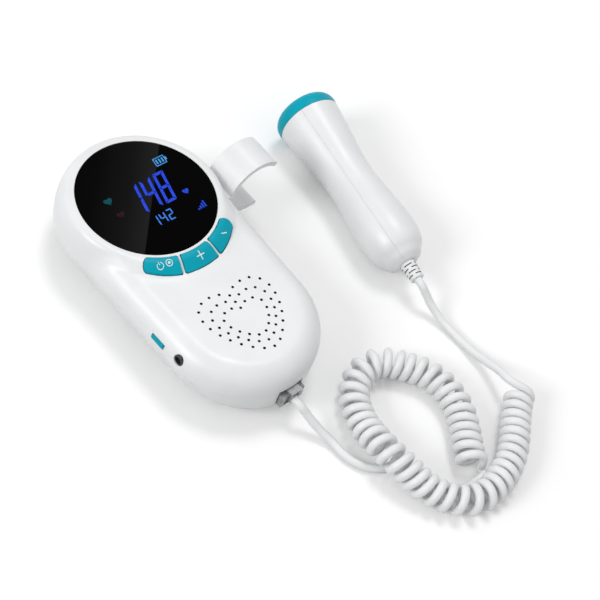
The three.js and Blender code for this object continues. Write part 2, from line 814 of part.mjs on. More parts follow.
function batteryDoor() {
  const panel = lowerSkin(0).subtract(lowerHollow(wall)).intersect(doorZone(fit));
  const edge = bayHalfWidth - fit;
  const tabs = [];
  [-1, 1].forEach((side) => {
    doorTabStarts.forEach((start) => {
      const inner = side * (edge - doorTabRoot);
      const outer = side * (bayHalfWidth + doorTabReach);
      const rim = side * edge;
      const end = start + doorTabLength;
      const low = wall + doorLift + fit;
      const high = low + doorTabThickness;
      tabs.push(box(Math.min(inner, outer), Math.max(inner, outer), start, end, low, high));
      tabs.push(box(Math.min(inner, rim), Math.max(inner, rim), start, end, wall / 2 + doorLift, high));
    });
  });
  const grips = [];
  for (let k = 0; k < gripCount; k += 1) {
    const y = bayStart + bayWall + gripPitch * (k + 1);
    grips.push(box(-gripHalfLength, gripHalfLength, y, y + gripWidth, -overrun, gripDepth));
  }
  return panel.add(join(tabs)).subtract(join(grips));
}

function batteryPack() {
  const start = bayStart + fit + connectorLength + fit;
  const bottom = wall + doorLift + fit * 2;
  return box(-batteryHalfWidth, batteryHalfWidth, start, bayEnd - fit, bottom, bottom + batteryThickness);
}

function batteryConnector() {
  return box(
    -connectorHalfWidth, connectorHalfWidth, bayStart + fit, bayStart + fit + connectorLength,
    bayHeight - fit - connectorHeight, bayHeight - fit,
  );
}

function housingScrew(x, y) {
  const headTop = screwSink + screwHeadHeight;
  return revolve([
    [0, screwSink], [screwHeadRadius, screwSink], [screwHeadRadius, headTop],
    [screwShankRadius, headTop], [screwShankRadius, screwSink + screwLength],
    [0, screwSink + screwLength + screwShankRadius],
  ], screwSides, x, y);
}

function displayLens() {
  return revolve([
    [0, lensBottom], [lensRadius, lensBottom], [lensRadius, podHeight - lensChamfer],
    [lensRadius - lensChamfer, podHeight], [0, podHeight],
  ], podSides, 0, displayY);
}

function displaySlab(grow, z0, z1) {
  const x = panelWidth / 2 + grow;
  const y = panelLength / 2 + grow;
  return box(-x, x, displayY - y, displayY + y, z0, z1);
}

function displayFrame() {
  const top = panelBottom - fit - backlightThickness - fit;
  const bottom = boardTop + fit;
  return displaySlab(0, bottom, top).subtract(displaySlab(-frameWall, bottom - overrun, top - frameWall));
}

function button(definition) {
  const bottom = switchTop + buttonTravel + pressSlack;
  const cap = buttonPrism(definition, 0, 0, flangeTop - buttonFlange / 2, podHeight + overrun)
    .intersect(podSolid(buttonProud));
  const flange = buttonPrism(definition, buttonFlange, 0, flangeTop - buttonFlange, flangeTop);
  const [x, y] = buttonCentre(definition);
  return cap.add(flange).add(post(buttonStemRadius, x, y, bottom, flangeTop, 12));
}

function tactSwitch(definition) {
  const [x, y] = buttonCentre(definition);
  const bottom = boardTop + fit;
  const half = switchSide / 2;
  return box(x - half, x + half, y - half, y + half, bottom, bottom + switchHeight)
    .add(post(plungerRadius, x, y, bottom + fit, switchTop, 12));
}

function mainBoard() {
  const bottom = boardTop - boardThickness;
  const disc = post(boardRadius, 0, displayY, bottom, boardTop, 40);
  const neck = box(
    -boardNeckHalfWidth, boardNeckHalfWidth, displayY - boardReach, displayY, bottom, boardTop,
  );
  const tongue = box(
    -boardTongueOuter, -boardTongueInner, -boardTongueEnd, displayY - windowRadius, bottom, boardTop,
  );
  const room = loft([outlineRing(wall + fit * 2, bottom - overrun), outlineRing(wall + fit * 2, boardTop + overrun)]);
  const holes = screwPlaces.map(([x, y]) => (
    post(bossRadius + fit, x, y, bottom - overrun, boardTop + overrun, 16)));
  return join([disc, neck, tongue]).intersect(room).subtract(join(holes));
}

function speakerFrame() {
  const top = topInside - fit;
  const bottom = top - speakerDepth;
  const inner = speakerRadius - speakerRimWidth;
  const rimBottom = top - speakerRimHeight;
  return revolve([
    [0, bottom], [magnetRadius, bottom], [magnetRadius, bottom + magnetHeight],
    [inner, rimBottom], [speakerRadius, rimBottom], [speakerRadius, top], [inner, top],
    [inner, top - coneThickness - fit], [magnetRadius, rimBottom - coneThickness],
    [0, rimBottom - coneThickness],
  ], speakerSides, 0, speakerY);
}

function speakerCone() {
  const top = topInside - fit;
  const outer = speakerRadius - speakerRimWidth - fit;
  const foot = dustCapRadius + coneDepth;
  const low = top - coneDepth;
  return revolve([
    [0, low - coneThickness], [foot, low - coneThickness], [outer, top - coneThickness],
    [outer, top], [foot, low], [dustCapRadius, low], [0, low + dustCapRise],
  ], speakerSides, 0, speakerY);
}

function chargePort() {
  const front = -sideX(portY) + wall + fit;
  const half = portWidth / 2;
  const z = portHeight;
  return box(front, front + portDepth, portY - half, portY + half, z - portThickness / 2, z + portThickness / 2)
    .subtract(box(
      front - overrun, front + portMouthDepth,
      portY - portMouthWidth / 2, portY + portMouthWidth / 2,
      z - portMouthHeight / 2, z + portMouthHeight / 2,
    ));
}

function portCover() {
  const front = -sideX(portY) - coverProud;
  return box(
    front, front + coverThickness + coverProud, portY - coverLength / 2, portY + coverLength / 2,
    portHeight - coverHeight / 2, portHeight + coverHeight / 2,
  );
}

function headphoneJack() {
  const front = -sideX(jackY) + wall / 3 - jackProud;
  const shoulder = -sideX(jackY) + wall + fit + jackSetback;
  const half = jackBodyWidth / 2;
  const tall = jackBodyHeight / 2;
  const body = box(
    shoulder + fit, shoulder + jackBodyDepth, jackY - half, jackY + half, jackHeight - tall, jackHeight + tall,
  );
  return pin(jackNoseRadius, front, shoulder + overrun, jackY, jackHeight, 20).add(body)
    .subtract(pin(jackBore / 2, front - overrun, front + jackBoreDepth, jackY, jackHeight, 20));
}

function probeSocket() {
  const front = -bodyLength / 2 + wall + fit;
  const back = front + socketDepth;
  const mouthHalf = plugHalfWidth + fit;
  const inner = -bodyLength / 2 + plugInsertion + fit;
  const top = plugTop + fit;
  return box(socketX - socketHalfWidth, socketX + socketHalfWidth, front, back, socketBottom, socketTop)
    .subtract(box(socketX - mouthHalf, socketX + mouthHalf, front - overrun, inner, plugBottom - fit, top))
    .subtract(box(
      socketX - latchHalfWidth - fit, socketX + latchHalfWidth + fit,
      front - overrun, inner, plugTop, plugTop + latchSlotHeight,
    ));
}

function cordPlug() {
  const tip = -bodyLength / 2 + plugInsertion;
  const body = box(socketX - plugHalfWidth, socketX + plugHalfWidth, plugOuter, tip, plugBottom, plugTop);
  const hinge = tip - plugVisible;
  const wallPlace = -bodyLength / 2;
  const latchEnd = plugOuter - latchOverhang;
  const latch = new THREE.ExtrudeGeometry(new THREE.Shape([
    new THREE.Vector2(tip, plugTop - latchThickness),
    new THREE.Vector2(tip, plugTop + latchThickness / 2),
    new THREE.Vector2(wallPlace, plugTop + latchRise),
    new THREE.Vector2(latchEnd, plugTop + latchRise + latchThickness),
    new THREE.Vector2(latchEnd, plugTop + latchRise),
    new THREE.Vector2(wallPlace, plugTop + latchRise - latchThickness),
    new THREE.Vector2(hinge, plugTop - latchThickness),
  ]), { depth: latchHalfWidth * 2, bevelEnabled: false });
  latch.rotateY(Math.PI / 2);
  latch.rotateX(Math.PI / 2);
  latch.translate(socketX - latchHalfWidth, 0, 0);
  const collar = new THREE.CylinderGeometry(plugCollarRadius, plugCollarRadius, plugCollarLength * 2, 16);
  collar.translate(socketX, plugOuter, plugMiddle);
  return join([body, toSolid(latch), toSolid(collar)]);
}

function probeHolder() {
  const from = THREE.MathUtils.degToRad(holderUpperAngle);
  const to = THREE.MathUtils.degToRad(holderLowerAngle + 360);
  const middle = (holderInnerRadius + holderOuterRadius) / 2;
  const points = [];
  const put = (radius, angle) => {
    points.push(new THREE.Vector2(radius * Math.cos(angle), radius * Math.sin(angle)));
  };
  for (let i = 0; i <= holderSteps; i += 1) put(holderOuterRadius, from + (to - from) * (i / holderSteps));
  for (let k = 1; k < holderTipSteps; k += 1) {
    const turn = (Math.PI * k) / holderTipSteps;
    put(middle + (holderWall / 2) * Math.cos(turn), to + ((holderWall / 2) * Math.sin(turn)) / middle);
  }
  for (let i = holderSteps; i >= 0; i -= 1) put(holderInnerRadius, from + (to - from) * (i / holderSteps));
  for (let k = 1; k < holderTipSteps; k += 1) {
    const turn = (Math.PI * k) / holderTipSteps;
    put(middle - (holderWall / 2) * Math.cos(turn), from - ((holderWall / 2) * Math.sin(turn)) / middle);
  }
  const ring = new THREE.ExtrudeGeometry(new THREE.Shape(points), { depth: holderLength, bevelEnabled: false });
  ring.rotateX(Math.PI / 2);
  ring.translate(holderX, holderEnd, holderHeight);
  const hollow = new THREE.CylinderGeometry(holderInnerRadius, holderInnerRadius, holderLength * 2, 48);
  hollow.translate(holderX, holderStart, holderHeight);
  const wallX = sideX(holderStart);
  const root = box(
    wallX - wall, wallX + holderRootReach, holderStart, holderEnd, holderRootBottom, holderRootTop,
  ).subtract(toSolid(hollow));
  const housing = loft([...lowerEdgeRings(-fit), ...upperEdgeRings(-fit)]).add(podSolid(fit));
  const pegs = pegPlaces.map((y) => (
    pin(pegRadius, sideX(y) - wall - pegEnd, sideX(y) + overrun, y, pegHeight, 16)));
  return join([toSolid(ring), root]).subtract(housing).add(join(pegs));
}

// The probe's own frame: its axis is local Z from the cap to the cord, and the seam plane is YZ
function probeFrame() {
  const tilt = Math.asin((headRadius - bulgeRadius) / (bulgePlace + headCrest));
  const heading = THREE.MathUtils.degToRad(probeHeading);
  const roll = THREE.MathUtils.degToRad(probeSeamRoll);
  const axis = new THREE.Vector3(-Math.sin(heading), -Math.cos(heading), -Math.tan(tilt)).normalize();
  const seam = new THREE.Vector3(-Math.sin(roll), 0, Math.cos(roll));
  const side = new THREE.Vector3().crossVectors(seam, axis).normalize();
  const up = new THREE.Vector3().crossVectors(axis, side);
  const lift = (headRadius + headCrest * Math.sin(tilt) * -1) / Math.cos(tilt);
  const frame = new THREE.Group();
  frame.quaternion.setFromRotationMatrix(new THREE.Matrix4().makeBasis(side, up, axis));
  frame.position.set(probeX, probeY, lift);
  frame.updateMatrixWorld();
  return frame;
}

function probeProfile(inset, from, to) {
  const points = [];
  const count = probeProfileShares.length;
  const radiusAt = (place) => {
    const share = place / probeShellLength;
    const next = Math.min(count - 1, Math.max(1, probeProfileShares.findIndex(([s]) => s >= share)));
    const [s0, r0] = probeProfileShares[next - 1];
    const [s1, r1] = probeProfileShares[next];
    return headRadius * THREE.MathUtils.mapLinear(share, s0, s1, r0, r1) - inset;
  };
  points.push([0, from], [radiusAt(from), from]);
  probeProfileShares.forEach(([share]) => {
    const place = share * probeShellLength;
    if (place > from && place < to) points.push([radiusAt(place), place]);
  });
  points.push([radiusAt(to), to], [0, to]);
  return points;
}

function probeShell(side) {
  const inner = probeShellLength - probeTailSpace;
  const spigot = post(spigotRadius, 0, 0, -spigotDepth, overrun, probeSides);
  const bore = post(spigotRadius - probeWall, 0, 0, -spigotDepth - overrun, overrun * 2, probeSides);
  const tailHole = post(reliefRadius + fit, 0, 0, inner - overrun, probeShellLength + overrun, reliefSides);
  const halfSpace = box(
    side > 0 ? fit / 2 : -headRadius * 2, side > 0 ? headRadius * 2 : -fit / 2,
    -headRadius * 2, headRadius * 2, -probeShellLength, probeShellLength * 2,
  );
  return revolve(probeProfile(0, 0, probeShellLength), probeSides).add(spigot)
    .subtract(revolve(probeProfile(probeWall, probeWall, inner), probeSides))
    .subtract(bore).subtract(tailHole).intersect(halfSpace);
}

function probeCap() {
  const outer = [[0, -capDepth]];
  capProfileShares.forEach(([place, radius]) => {
    outer.push([headRadius * radius, -capDepth * place]);
  });
  const rear = headRadius * probeProfileShares[0][1];
  const pocket = -spigotDepth - fit;
  const floor = pocket - crystalThickness - fit;
  return revolve([
    ...outer, [rear, -fit], [spigotRadius + fit, -fit], [spigotRadius + fit, pocket],
    [crystalRadius + fit, pocket], [crystalRadius + fit, floor], [0, floor],
  ], probeSides);
}

function crystal(side) {
  const back = -spigotDepth - fit;
  const front = back - crystalThickness;
  const half = box(
    side > 0 ? crystalGap / 2 : -headRadius, side > 0 ? headRadius : -crystalGap / 2,
    -headRadius, headRadius, front - overrun, back + overrun,
  );
  return post(crystalRadius, 0, 0, front, back, probeSides).intersect(half);
}

function transducerBacking() {
  const front = -spigotDepth;
  return post(spigotRadius - probeWall - fit, 0, 0, front, front + backingThickness, probeSides);
}

function probeBoard() {
  const half = waistRadius - probeWall - fit;
  return box(
    -half, half, -probeBoardThickness / 2, probeBoardThickness / 2, probeBoardStart, probeBoardEnd,
  );
}

function strainRelief() {
  const inner = probeShellLength - probeTailSpace - fit;
  const end = probeShellLength + reliefLength;
  const body = revolve([
    [0, inner - reliefFlangeThickness], [reliefFlangeRadius, inner - reliefFlangeThickness],
    [reliefFlangeRadius, inner], [reliefRadius, inner], [reliefRadius, probeShellLength],
    [reliefEndRadius, end], [0, end],
  ], reliefSides);
  const slots = [];
  const pitch = reliefLength / (reliefSlots + 1);
  for (let k = 0; k < reliefSlots; k += 1) {
    const place = probeShellLength + pitch * (k + 1) - reliefSlotWidth / 2;
    const depth = reliefRadius - reliefSlotDepth;
    [-1, 1].forEach((side) => {
      const near = side > 0 ? depth : -headRadius;
      const far = side > 0 ? headRadius : -depth;
      if (k % 2 === 0) slots.push(box(near, far, -headRadius, headRadius, place, place + reliefSlotWidth));
      else slots.push(box(-headRadius, headRadius, near, far, place, place + reliefSlotWidth));
    });
  }
  return body.subtract(join(slots));
}

// Evenly spaced points of a smooth line through a route, with the kinks between points eased
function easedLine(route, count, reach) {
  const curve = new THREE.CatmullRomCurve3(route.map((point) => new THREE.Vector3(...point)));
  const points = curve.getSpacedPoints(count);
  return points.map((point, i) => {
    const window = Math.min(reach, i, count - i);
    const sum = new THREE.Vector3();
    for (let k = i - window; k <= i + window; k += 1) sum.add(points[k]);
    return sum.divideScalar(window * 2 + 1);
  });
}

// The helix along the coil's centreline. Its pitch stays the same on the inside of each bend, so
// that the turns lie close there and open on the outside.
function coilPath() {
  const count = 660;
  const centres = easedLine(coilRoute, count, 12);
  const axes = centres.map((point, i) => {
    const before = centres[Math.max(0, i - 1)];
    const after = centres[Math.min(count, i + 1)];
    return after.clone().sub(before).normalize();
  });
  const bends = centres.map((point, i) => {
    const i0 = Math.max(0, i - 9);
    const i1 = Math.min(count, i + 9);
    return axes[i0].angleTo(axes[i1]) / centres[i0].distanceTo(centres[i1]);
  });
  const turns = [0];
  for (let i = 1; i <= count; i += 1) {
    const step = centres[i].distanceTo(centres[i - 1]);
    const bend = (bends[i] + bends[i - 1]) / 2;
    turns.push(turns[i - 1] + (step * (1 - helixRadius * bend)) / coilInnerPitch);
  }
  const total = Math.floor(turns[count] - coilEndTurn) + coilEndTurn;
  const scale = total / turns[count];
  const at = (turn) => {
    const next = Math.max(1, turns.findIndex((value) => value * scale >= turn - 1e-9));
    const share = (turn / scale - turns[next - 1]) / (turns[next] - turns[next - 1]);
    const centre = centres[next - 1].clone().lerp(centres[next], share);
    const axis = axes[next - 1].clone().lerp(axes[next], share).normalize();
    const up = new THREE.Vector3(0, 0, 1).addScaledVector(axis, -axis.z).normalize();
    const side = new THREE.Vector3().crossVectors(up, axis);
    const angle = Math.PI * 2 * turn;
    const outward = up.clone().multiplyScalar(Math.cos(angle)).addScaledVector(side, Math.sin(angle));
    const round = side.clone().multiplyScalar(Math.cos(angle)).addScaledVector(up, -Math.sin(angle));
    const rise = centres[next].distanceTo(centres[next - 1]) / ((turns[next] - turns[next - 1]) * scale);
    const tangent = round.multiplyScalar(Math.PI * 2 * helixRadius).addScaledVector(axis, rise).normalize();
    return { point: centre.addScaledVector(outward, helixRadius), outward, tangent };
  };
  const steps = Math.round(total * coilStepsPerTurn);
  const path = [];
  for (let i = 0; i <= steps; i += 1) path.push(at((total * i) / steps));
  const first = path[0];
  const last = path[steps];
  const lead = (end, way) => ({
    point: end.point.clone().addScaledVector(end.tangent, way * cordDiameter),
    outward: end.outward,
    tangent: end.tangent,
  });
  return [lead(first, -1), ...path, lead(last, 1)];
}

function coilSolid(path) {
  const rings = path.map(({ point, outward, tangent }) => {
    const across = new THREE.Vector3().crossVectors(tangent, outward).normalize();
    const out = new THREE.Vector3().crossVectors(across, tangent);
    const ring = [];
    for (let k = 0; k < coilSides; k += 1) {
      const angle = (Math.PI * 2 * k) / coilSides;
      ring.push(point.clone()
        .addScaledVector(out, wireRadius * Math.cos(angle))
        .addScaledVector(across, wireRadius * Math.sin(angle)));
    }
    return ring;
  });
  return loft(rings);
}

// Least gap between one turn of the wire and another, measured on points of its centreline
function leastGap(path) {
  const points = path.map(({ point }) => point);
  const near = new THREE.Vector3();
  const probe = new THREE.Vector3();
  let least = Infinity;
  for (let i = 0; i + 1 < points.length; i += 1) {
    for (let j = i + coilStepsPerTurn - 3; j + 1 < points.length; j += 1) {
      if (points[i].distanceTo(points[j]) > coilDiameter * 2) continue;
      const line = new THREE.Line3(points[j], points[j + 1]);
      for (let k = 0; k < 4; k += 1) {
        probe.lerpVectors(points[i], points[i + 1], k / 4);
        line.closestPointToPoint(probe, true, near);
        least = Math.min(least, near.distanceTo(probe));
      }
    }
  }
  return least - 2 * wireRadius * Math.sin((Math.PI * 2) / coilSides);
}

// A straight-lying stretch of cord through its points, with faces square to its ends
function cordTail(points) {
  const curve = new THREE.CatmullRomCurve3(points);
  const outline = [];
  for (let k = 0; k < tailSides; k += 1) {
    const angle = (Math.PI * 2 * (k + 1 / 2)) / tailSides;
    outline.push(new THREE.Vector2(wireRadius * Math.cos(angle), wireRadius * Math.sin(angle)));
  }
  const steps = Math.ceil(curve.getLength() / tailStep);
  return toSolid(new THREE.ExtrudeGeometry(new THREE.Shape(outline), {
    steps, extrudePath: curve, bevelEnabled: false,
  }));
}

function onward(point, direction, distance) {
  return point.clone().addScaledVector(direction, distance);
}

function buildUnit() {
  addPart('lower_shell', lowerShell(), white);
  addPart('upper_shell', upperShell(), white);
  addPart('display_lens', displayLens(), glass);
  addPart('display_panel', displaySlab(0, panelBottom, panelTop), panelBlack);
  const lightTop = panelBottom - fit;
  addPart('display_backlight', displaySlab(0, lightTop - backlightThickness, lightTop), diffuser);
  addPart('display_frame', displayFrame(), diffuser);
  addPart('main_board', mainBoard(), boardGreen);
  buttons.forEach((definition) => {
    addPart(`button_${definition.name}`, button(definition), teal);
    addPart(`switch_${definition.name}`, tactSwitch(definition), blackPlastic);
  });
  addPart('speaker_frame', speakerFrame(), steel);
  addPart('speaker_cone', speakerCone(), blackPlastic);
  addPart('charge_port', chargePort(), steel);
  addPart('port_cover', portCover(), teal);
  addPart('headphone_jack', headphoneJack(), blackPlastic);
  addPart('battery_door', batteryDoor(), white);
  addPart('battery_pack', batteryPack(), silverFoil);
  addPart('battery_connector', batteryConnector(), blackPlastic);
  screwPlaces.forEach(([x, y], i) => {
    addPart(`housing_screw_${i + 1}`, housingScrew(x, y), steel);
  });
  addPart('probe_socket', probeSocket(), blackPlastic);
  addPart('probe_holder', probeHolder(), white);
}

function buildProbe(frame) {
  monitor.add(frame);
  addPart('probe_shell_left', probeShell(-1), white, frame);
  addPart('probe_shell_right', probeShell(1), white, frame);
  addPart('probe_cap', probeCap(), teal, frame);
  addPart('crystal_transmit', crystal(-1), ceramic, frame);
  addPart('crystal_receive', crystal(1), ceramic, frame);
  addPart('transducer_backing', transducerBacking(), blackPlastic, frame);
  addPart('probe_board', probeBoard(), boardGreen, frame);
  addPart('probe_strain_relief', strainRelief(), white, frame);
}

function buildCord(frame) {
  addPart('cord_plug', cordPlug(), greyPlastic);
  const path = coilPath();
  const gap = leastGap(path);
  console.log(`curly cord: ${(path.length - 3) / coilStepsPerTurn} turns, least gap ${gap.toFixed(3)} mm`);
  addPart('curly_cord', coilSolid(path), cordWhite);
  const start = path[0];
  const end = path[path.length - 1];
  const lead = cordDiameter + fit;
  const relief = frame.localToWorld(new THREE.Vector3(0, 0, probeShellLength + reliefLength));
  const reliefAway = new THREE.Vector3(0, 0, 1).applyQuaternion(frame.quaternion);
  addPart('cord_probe_tail', cordTail([
    onward(relief, reliefAway, fit), onward(relief, reliefAway, lead),
    ...probeTailRoute.map((point) => new THREE.Vector3(...point)),
    onward(start.point, start.tangent, -lead), onward(start.point, start.tangent, -fit),
  ]), cordWhite);
  const exit = new THREE.Vector3(socketX, cordExit, plugMiddle);
  const exitAway = new THREE.Vector3(0, -1, 0);
  addPart('cord_unit_tail', cordTail([
    onward(exit, exitAway, fit), onward(exit, exitAway, lead),
    ...unitTailRoute.map((point) => new THREE.Vector3(...point)),
    onward(end.point, end.tangent, lead), onward(end.point, end.tangent, fit),
  ]), cordWhite);
}

buildUnit();
const probe = probeFrame();
buildProbe(probe);
buildCord(probe);

export default monitor;
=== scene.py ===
import json
from math import acos, asin, cos, degrees, hypot, pi, radians, sin, sqrt, tan

import bpy
import numpy as np
from mathutils import Matrix, Vector


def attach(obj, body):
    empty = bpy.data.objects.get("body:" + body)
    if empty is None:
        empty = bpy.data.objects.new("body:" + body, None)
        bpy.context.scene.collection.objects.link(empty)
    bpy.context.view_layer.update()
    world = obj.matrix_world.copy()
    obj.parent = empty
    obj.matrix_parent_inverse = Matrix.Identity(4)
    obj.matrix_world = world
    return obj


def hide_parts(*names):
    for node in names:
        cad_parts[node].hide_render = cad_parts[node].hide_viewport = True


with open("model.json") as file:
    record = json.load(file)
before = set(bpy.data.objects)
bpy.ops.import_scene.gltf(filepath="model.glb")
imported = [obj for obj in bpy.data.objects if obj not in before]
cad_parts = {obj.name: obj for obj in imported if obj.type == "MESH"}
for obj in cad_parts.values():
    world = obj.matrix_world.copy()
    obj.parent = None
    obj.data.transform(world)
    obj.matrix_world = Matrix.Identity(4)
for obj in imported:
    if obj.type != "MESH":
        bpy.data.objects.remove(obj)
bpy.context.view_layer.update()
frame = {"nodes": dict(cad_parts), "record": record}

MM = 0.001

# Sizes of the part's source that the pieces below repeat, in millimetres
FIT = 0.3                           # clearance round a loose piece
SEAM = 0.06                         # line between the two halves of the housing
WALL = 2
R_DISPLAY, R_SPEAKER = 36.5, 34.5   # the two round ends of the housing
Y_DISPLAY, Y_SPEAKER = 31, -33
END = 67.5                          # from the frame's origin to either end
LEAN = asin((R_SPEAKER - R_DISPLAY) / (Y_DISPLAY - Y_SPEAKER))
TOP, PARTING = 30, 18
R_LOW, R_UP = 12, 10                # rounded edges, below and above
HULL, HULL_POWER = 28.5, 1.7        # how far and how fast the lower half draws in
POD_TOP, RIM = 33, 31.9
SKIRT, SKIRT_DROP = 9.1, 3.4        # width and fall of the pod's skirt under the keys
SIDE, SIDE_DROP = 4.4, 11           # the same of its rounded side elsewhere
LENS_R = 29.8
FLANGE_TOP = 27.7                   # underside of the top wall, over the keys' flanges
PORT_Y, JACK_Y, JACK_Z = -23.3, -35.3, 23.3
HOLDER_X, HOLDER_Z = 50, 24
HOLDER_Y0, HOLDER_Y1 = 16.5, 32.2
HOLDER_PINS, HOLDER_PIN_Z = (20.5, 28.2), 22.3
DOOR_X, DOOR_Y, BAY = 16.5, 8.5, 18.5
TAB_STARTS = (14, 38)
SCREWS = [(-17.5, -49), (17.5, -49), (-22, 47), (22, 47)]
PROBE_HEAD, PROBE_LENGTH = 14.8, 84
RELIEF, RELIEF_ROWS = 8.5, 4
PLUG_X, PLUG_Z = 1, 12.5
# The source's cord is 3.9 across the corners of its facets, as wide on average as a round wire
# of 3.65.
WIRE_FACETED, WIRE, COIL = 3.9, 3.65, 13.6
HELIX = (COIL - WIRE_FACETED) / 2
COIL_PITCH = 4.2
# In metres
CORD_EXIT, CORD_LENGTH = (0.001, -0.0706, 0.0125), 1.572


# ---- camera

SENSOR, FOCAL_LENGTH = 36, 104.46
CAMERA_RIGHT = (0.7348, -0.6379, 0.2306)
CAMERA_UP = (0.4272, 0.6993, 0.5731)
CAMERA_BACK = (-0.5269, -0.3226, 0.7864)
CAMERA_PLACE = (-0.3495, -0.2703, 0.5870)


def placed(*columns):
    """The matrix of three axes and a place."""
    return Matrix([tuple(c[k] for c in columns) for k in range(3)] + [(0, 0, 0, 1)])


def into_scene(name, data):
    """A new object in the scene that holds the data."""
    made = bpy.data.objects.new(name, data)
    bpy.context.scene.collection.objects.link(made)
    return made


def make_camera():
    data = bpy.data.cameras.new("camera")
    data.sensor_width = SENSOR
    data.lens = FOCAL_LENGTH
    camera = into_scene("camera", data)
    camera.matrix_world = placed(CAMERA_RIGHT, CAMERA_UP, CAMERA_BACK, CAMERA_PLACE)
    bpy.context.scene.camera = camera


make_camera()


# ---- the cord's line

# The source's route points. The coil's line is its middle, from the probe's end to the unit's.
COIL_ROUTE = [
    (89.6, -120, 6.85), (84.2, -123.5, 6.85), (76.6, -130, 6.85), (68.5, -137, 6.85),
    (59, -142.6, 6.85), (48.5, -145.8, 6.85), (42.7, -146.4, 6.85), (37.1, -145.6, 6.85),
    (32.4, -143.2, 6.85), (28.5, -139.5, 6.85), (23.5, -131.5, 7.1), (19.8, -119.1, 10.5),
    (18.4, -112.4, 11.5), (18.3, -105.9, 10.8), (20.7, -94.1, 7.6), (25, -83.9, 6.85),
    (31.9, -76.7, 6.85), (40.7, -73.7, 6.85), (49, -75.8, 6.85), (55.7, -82.4, 6.85),
    (61.2, -90.2, 6.85), (63.3, -99.8, 6.85), (61.4, -110.2, 6.85), (55.6, -120.3, 6.85),
    (49.8, -128.6, 6.85), (48, -132.5, 6.85),
]
PROBE_TAIL = [
    (87.7, -60.6, 9.9), (88.3, -64.6, 6.5), (88.9, -69, 4.1), (89.3, -74, 2.5),
    (89.7, -80, 2.05), (89.9, -86, 2.1), (89.8, -93, 3.2), (89.7, -100, 5.4),
    (88.6, -106.6, 8.9), (87.1, -112.4, 11.5),
]
UNIT_TAIL = [
    (2.4, -77, 10), (3.9, -81.5, 6.8), (5.7, -86.5, 4), (7, -91.5, 2.5), (7.4, -97, 2.05),
    (8.3, -102, 2.05), (10.5, -106.5, 2.05), (13.9, -110.3, 2.05), (17.8, -112.3, 2.05),
    (22.3, -113.4, 2.05), (26.3, -116, 2.05), (28.9, -120.2, 2.05), (30.2, -125, 2.05),
    (32, -130, 2.05), (34.8, -134.3, 2.05), (38.6, -137.4, 2.05), (43.2, -138.4, 2.05),
    (48, -138.3, 2.05), (51.4, -137.9, 2.5),
]


def unit(v):
    """A vector, or each row of an array, brought to length 1."""
    return v / np.linalg.norm(v, axis=-1, keepdims=True)


def run_of(points):
    """How far along a line each of its points is."""
    return np.r_[0, np.cumsum(np.linalg.norm(np.diff(points, axis=0), axis=1))]


def at_run(goal, run, points):
    """The points of a line at given places of its run."""
    return np.column_stack([np.interp(goal, run, points[:, k]) for k in range(3)])


def smooth_line(route, count):
    """count + 1 evenly spaced points of the centripetal curve through a route."""
    steps_per_point = 60
    p = np.array(route, float)
    e = np.vstack([2 * p[0] - p[1], p, 2 * p[-1] - p[-2]])
    fine = []
    s = np.linspace(0, 1, steps_per_point + 1)[:, None]
    for i in range(len(p) - 1):
        a, b, c, d = e[i:i + 4]
        k0, k1, k2 = (sqrt(np.linalg.norm(v)) for v in (b - a, c - b, d - c))
        t1 = ((b - a) / k0 - (c - a) / (k0 + k1) + (c - b) / k1) * k1
        t2 = ((c - b) / k1 - (d - b) / (k1 + k2) + (d - c) / k2) * k1
        square, cube = 3 * (c - b) - 2 * t1 - t2, 2 * (b - c) + t1 + t2
        fine.append(b + t1 * s + square * s**2 + cube * s**3)
    fine = np.vstack([f[:-1] for f in fine] + [fine[-1][-1:]])
    run = run_of(fine)
    return at_run(np.linspace(0, run[-1], count + 1), run, fine)


def coil_line(steps_per_turn):
    """Points of the wound stretch from the probe's end, with the directions of its two ends.
    Its turns keep one pitch along the inside of the route's bends."""
    count, blur, reach = 660, 12, 9
    raw = smooth_line(COIL_ROUTE, count)
    blurs = [min(blur, i, count - i) for i in range(count + 1)]
    centres = np.array([raw[i - w:i + w + 1].mean(axis=0) for i, w in enumerate(blurs)])
    wider = np.vstack([centres[:1], centres, centres[-1:]])
    axes, bends = unit(wider[2:] - wider[:-2]), []
    for i in range(count + 1):
        a, b = max(0, i - reach), min(count, i + reach)
        turn = acos(min(1, float(axes[a] @ axes[b])))
        bends.append(turn / np.linalg.norm(centres[a] - centres[b]))
    bends = np.array(bends)
    step = np.linalg.norm(np.diff(centres, axis=0), axis=1)
    turns = np.r_[0, np.cumsum(step * (1 - HELIX * (bends[1:] + bends[:-1]) / 2) / COIL_PITCH)]
    total = int(turns[-1] - 0.25) + 0.25
    turns *= total / turns[-1]
    goal = np.linspace(0, total, round(total * steps_per_turn) + 1)
    c, a = at_run(goal, turns, centres), unit(at_run(goal, turns, axes))
    up = unit(np.array([0, 0, 1]) - a * a[:, 2:3])
    side = np.cross(up, a)
    phi = (2 * pi * goal)[:, None]
    line = c + HELIX * (up * np.cos(phi) + side * np.sin(phi))
    ends = []
    for i, way in ((0, 1), (len(line) - 1, -1)):
        rise = np.linalg.norm(c[i + way] - c[i]) / (goal[1] - goal[0])
        spin = side[i] * cos(phi[i, 0]) - up[i] * sin(phi[i, 0])
        ends.append(unit(spin * 2 * pi * HELIX + a[i] * rise))
    return line, ends


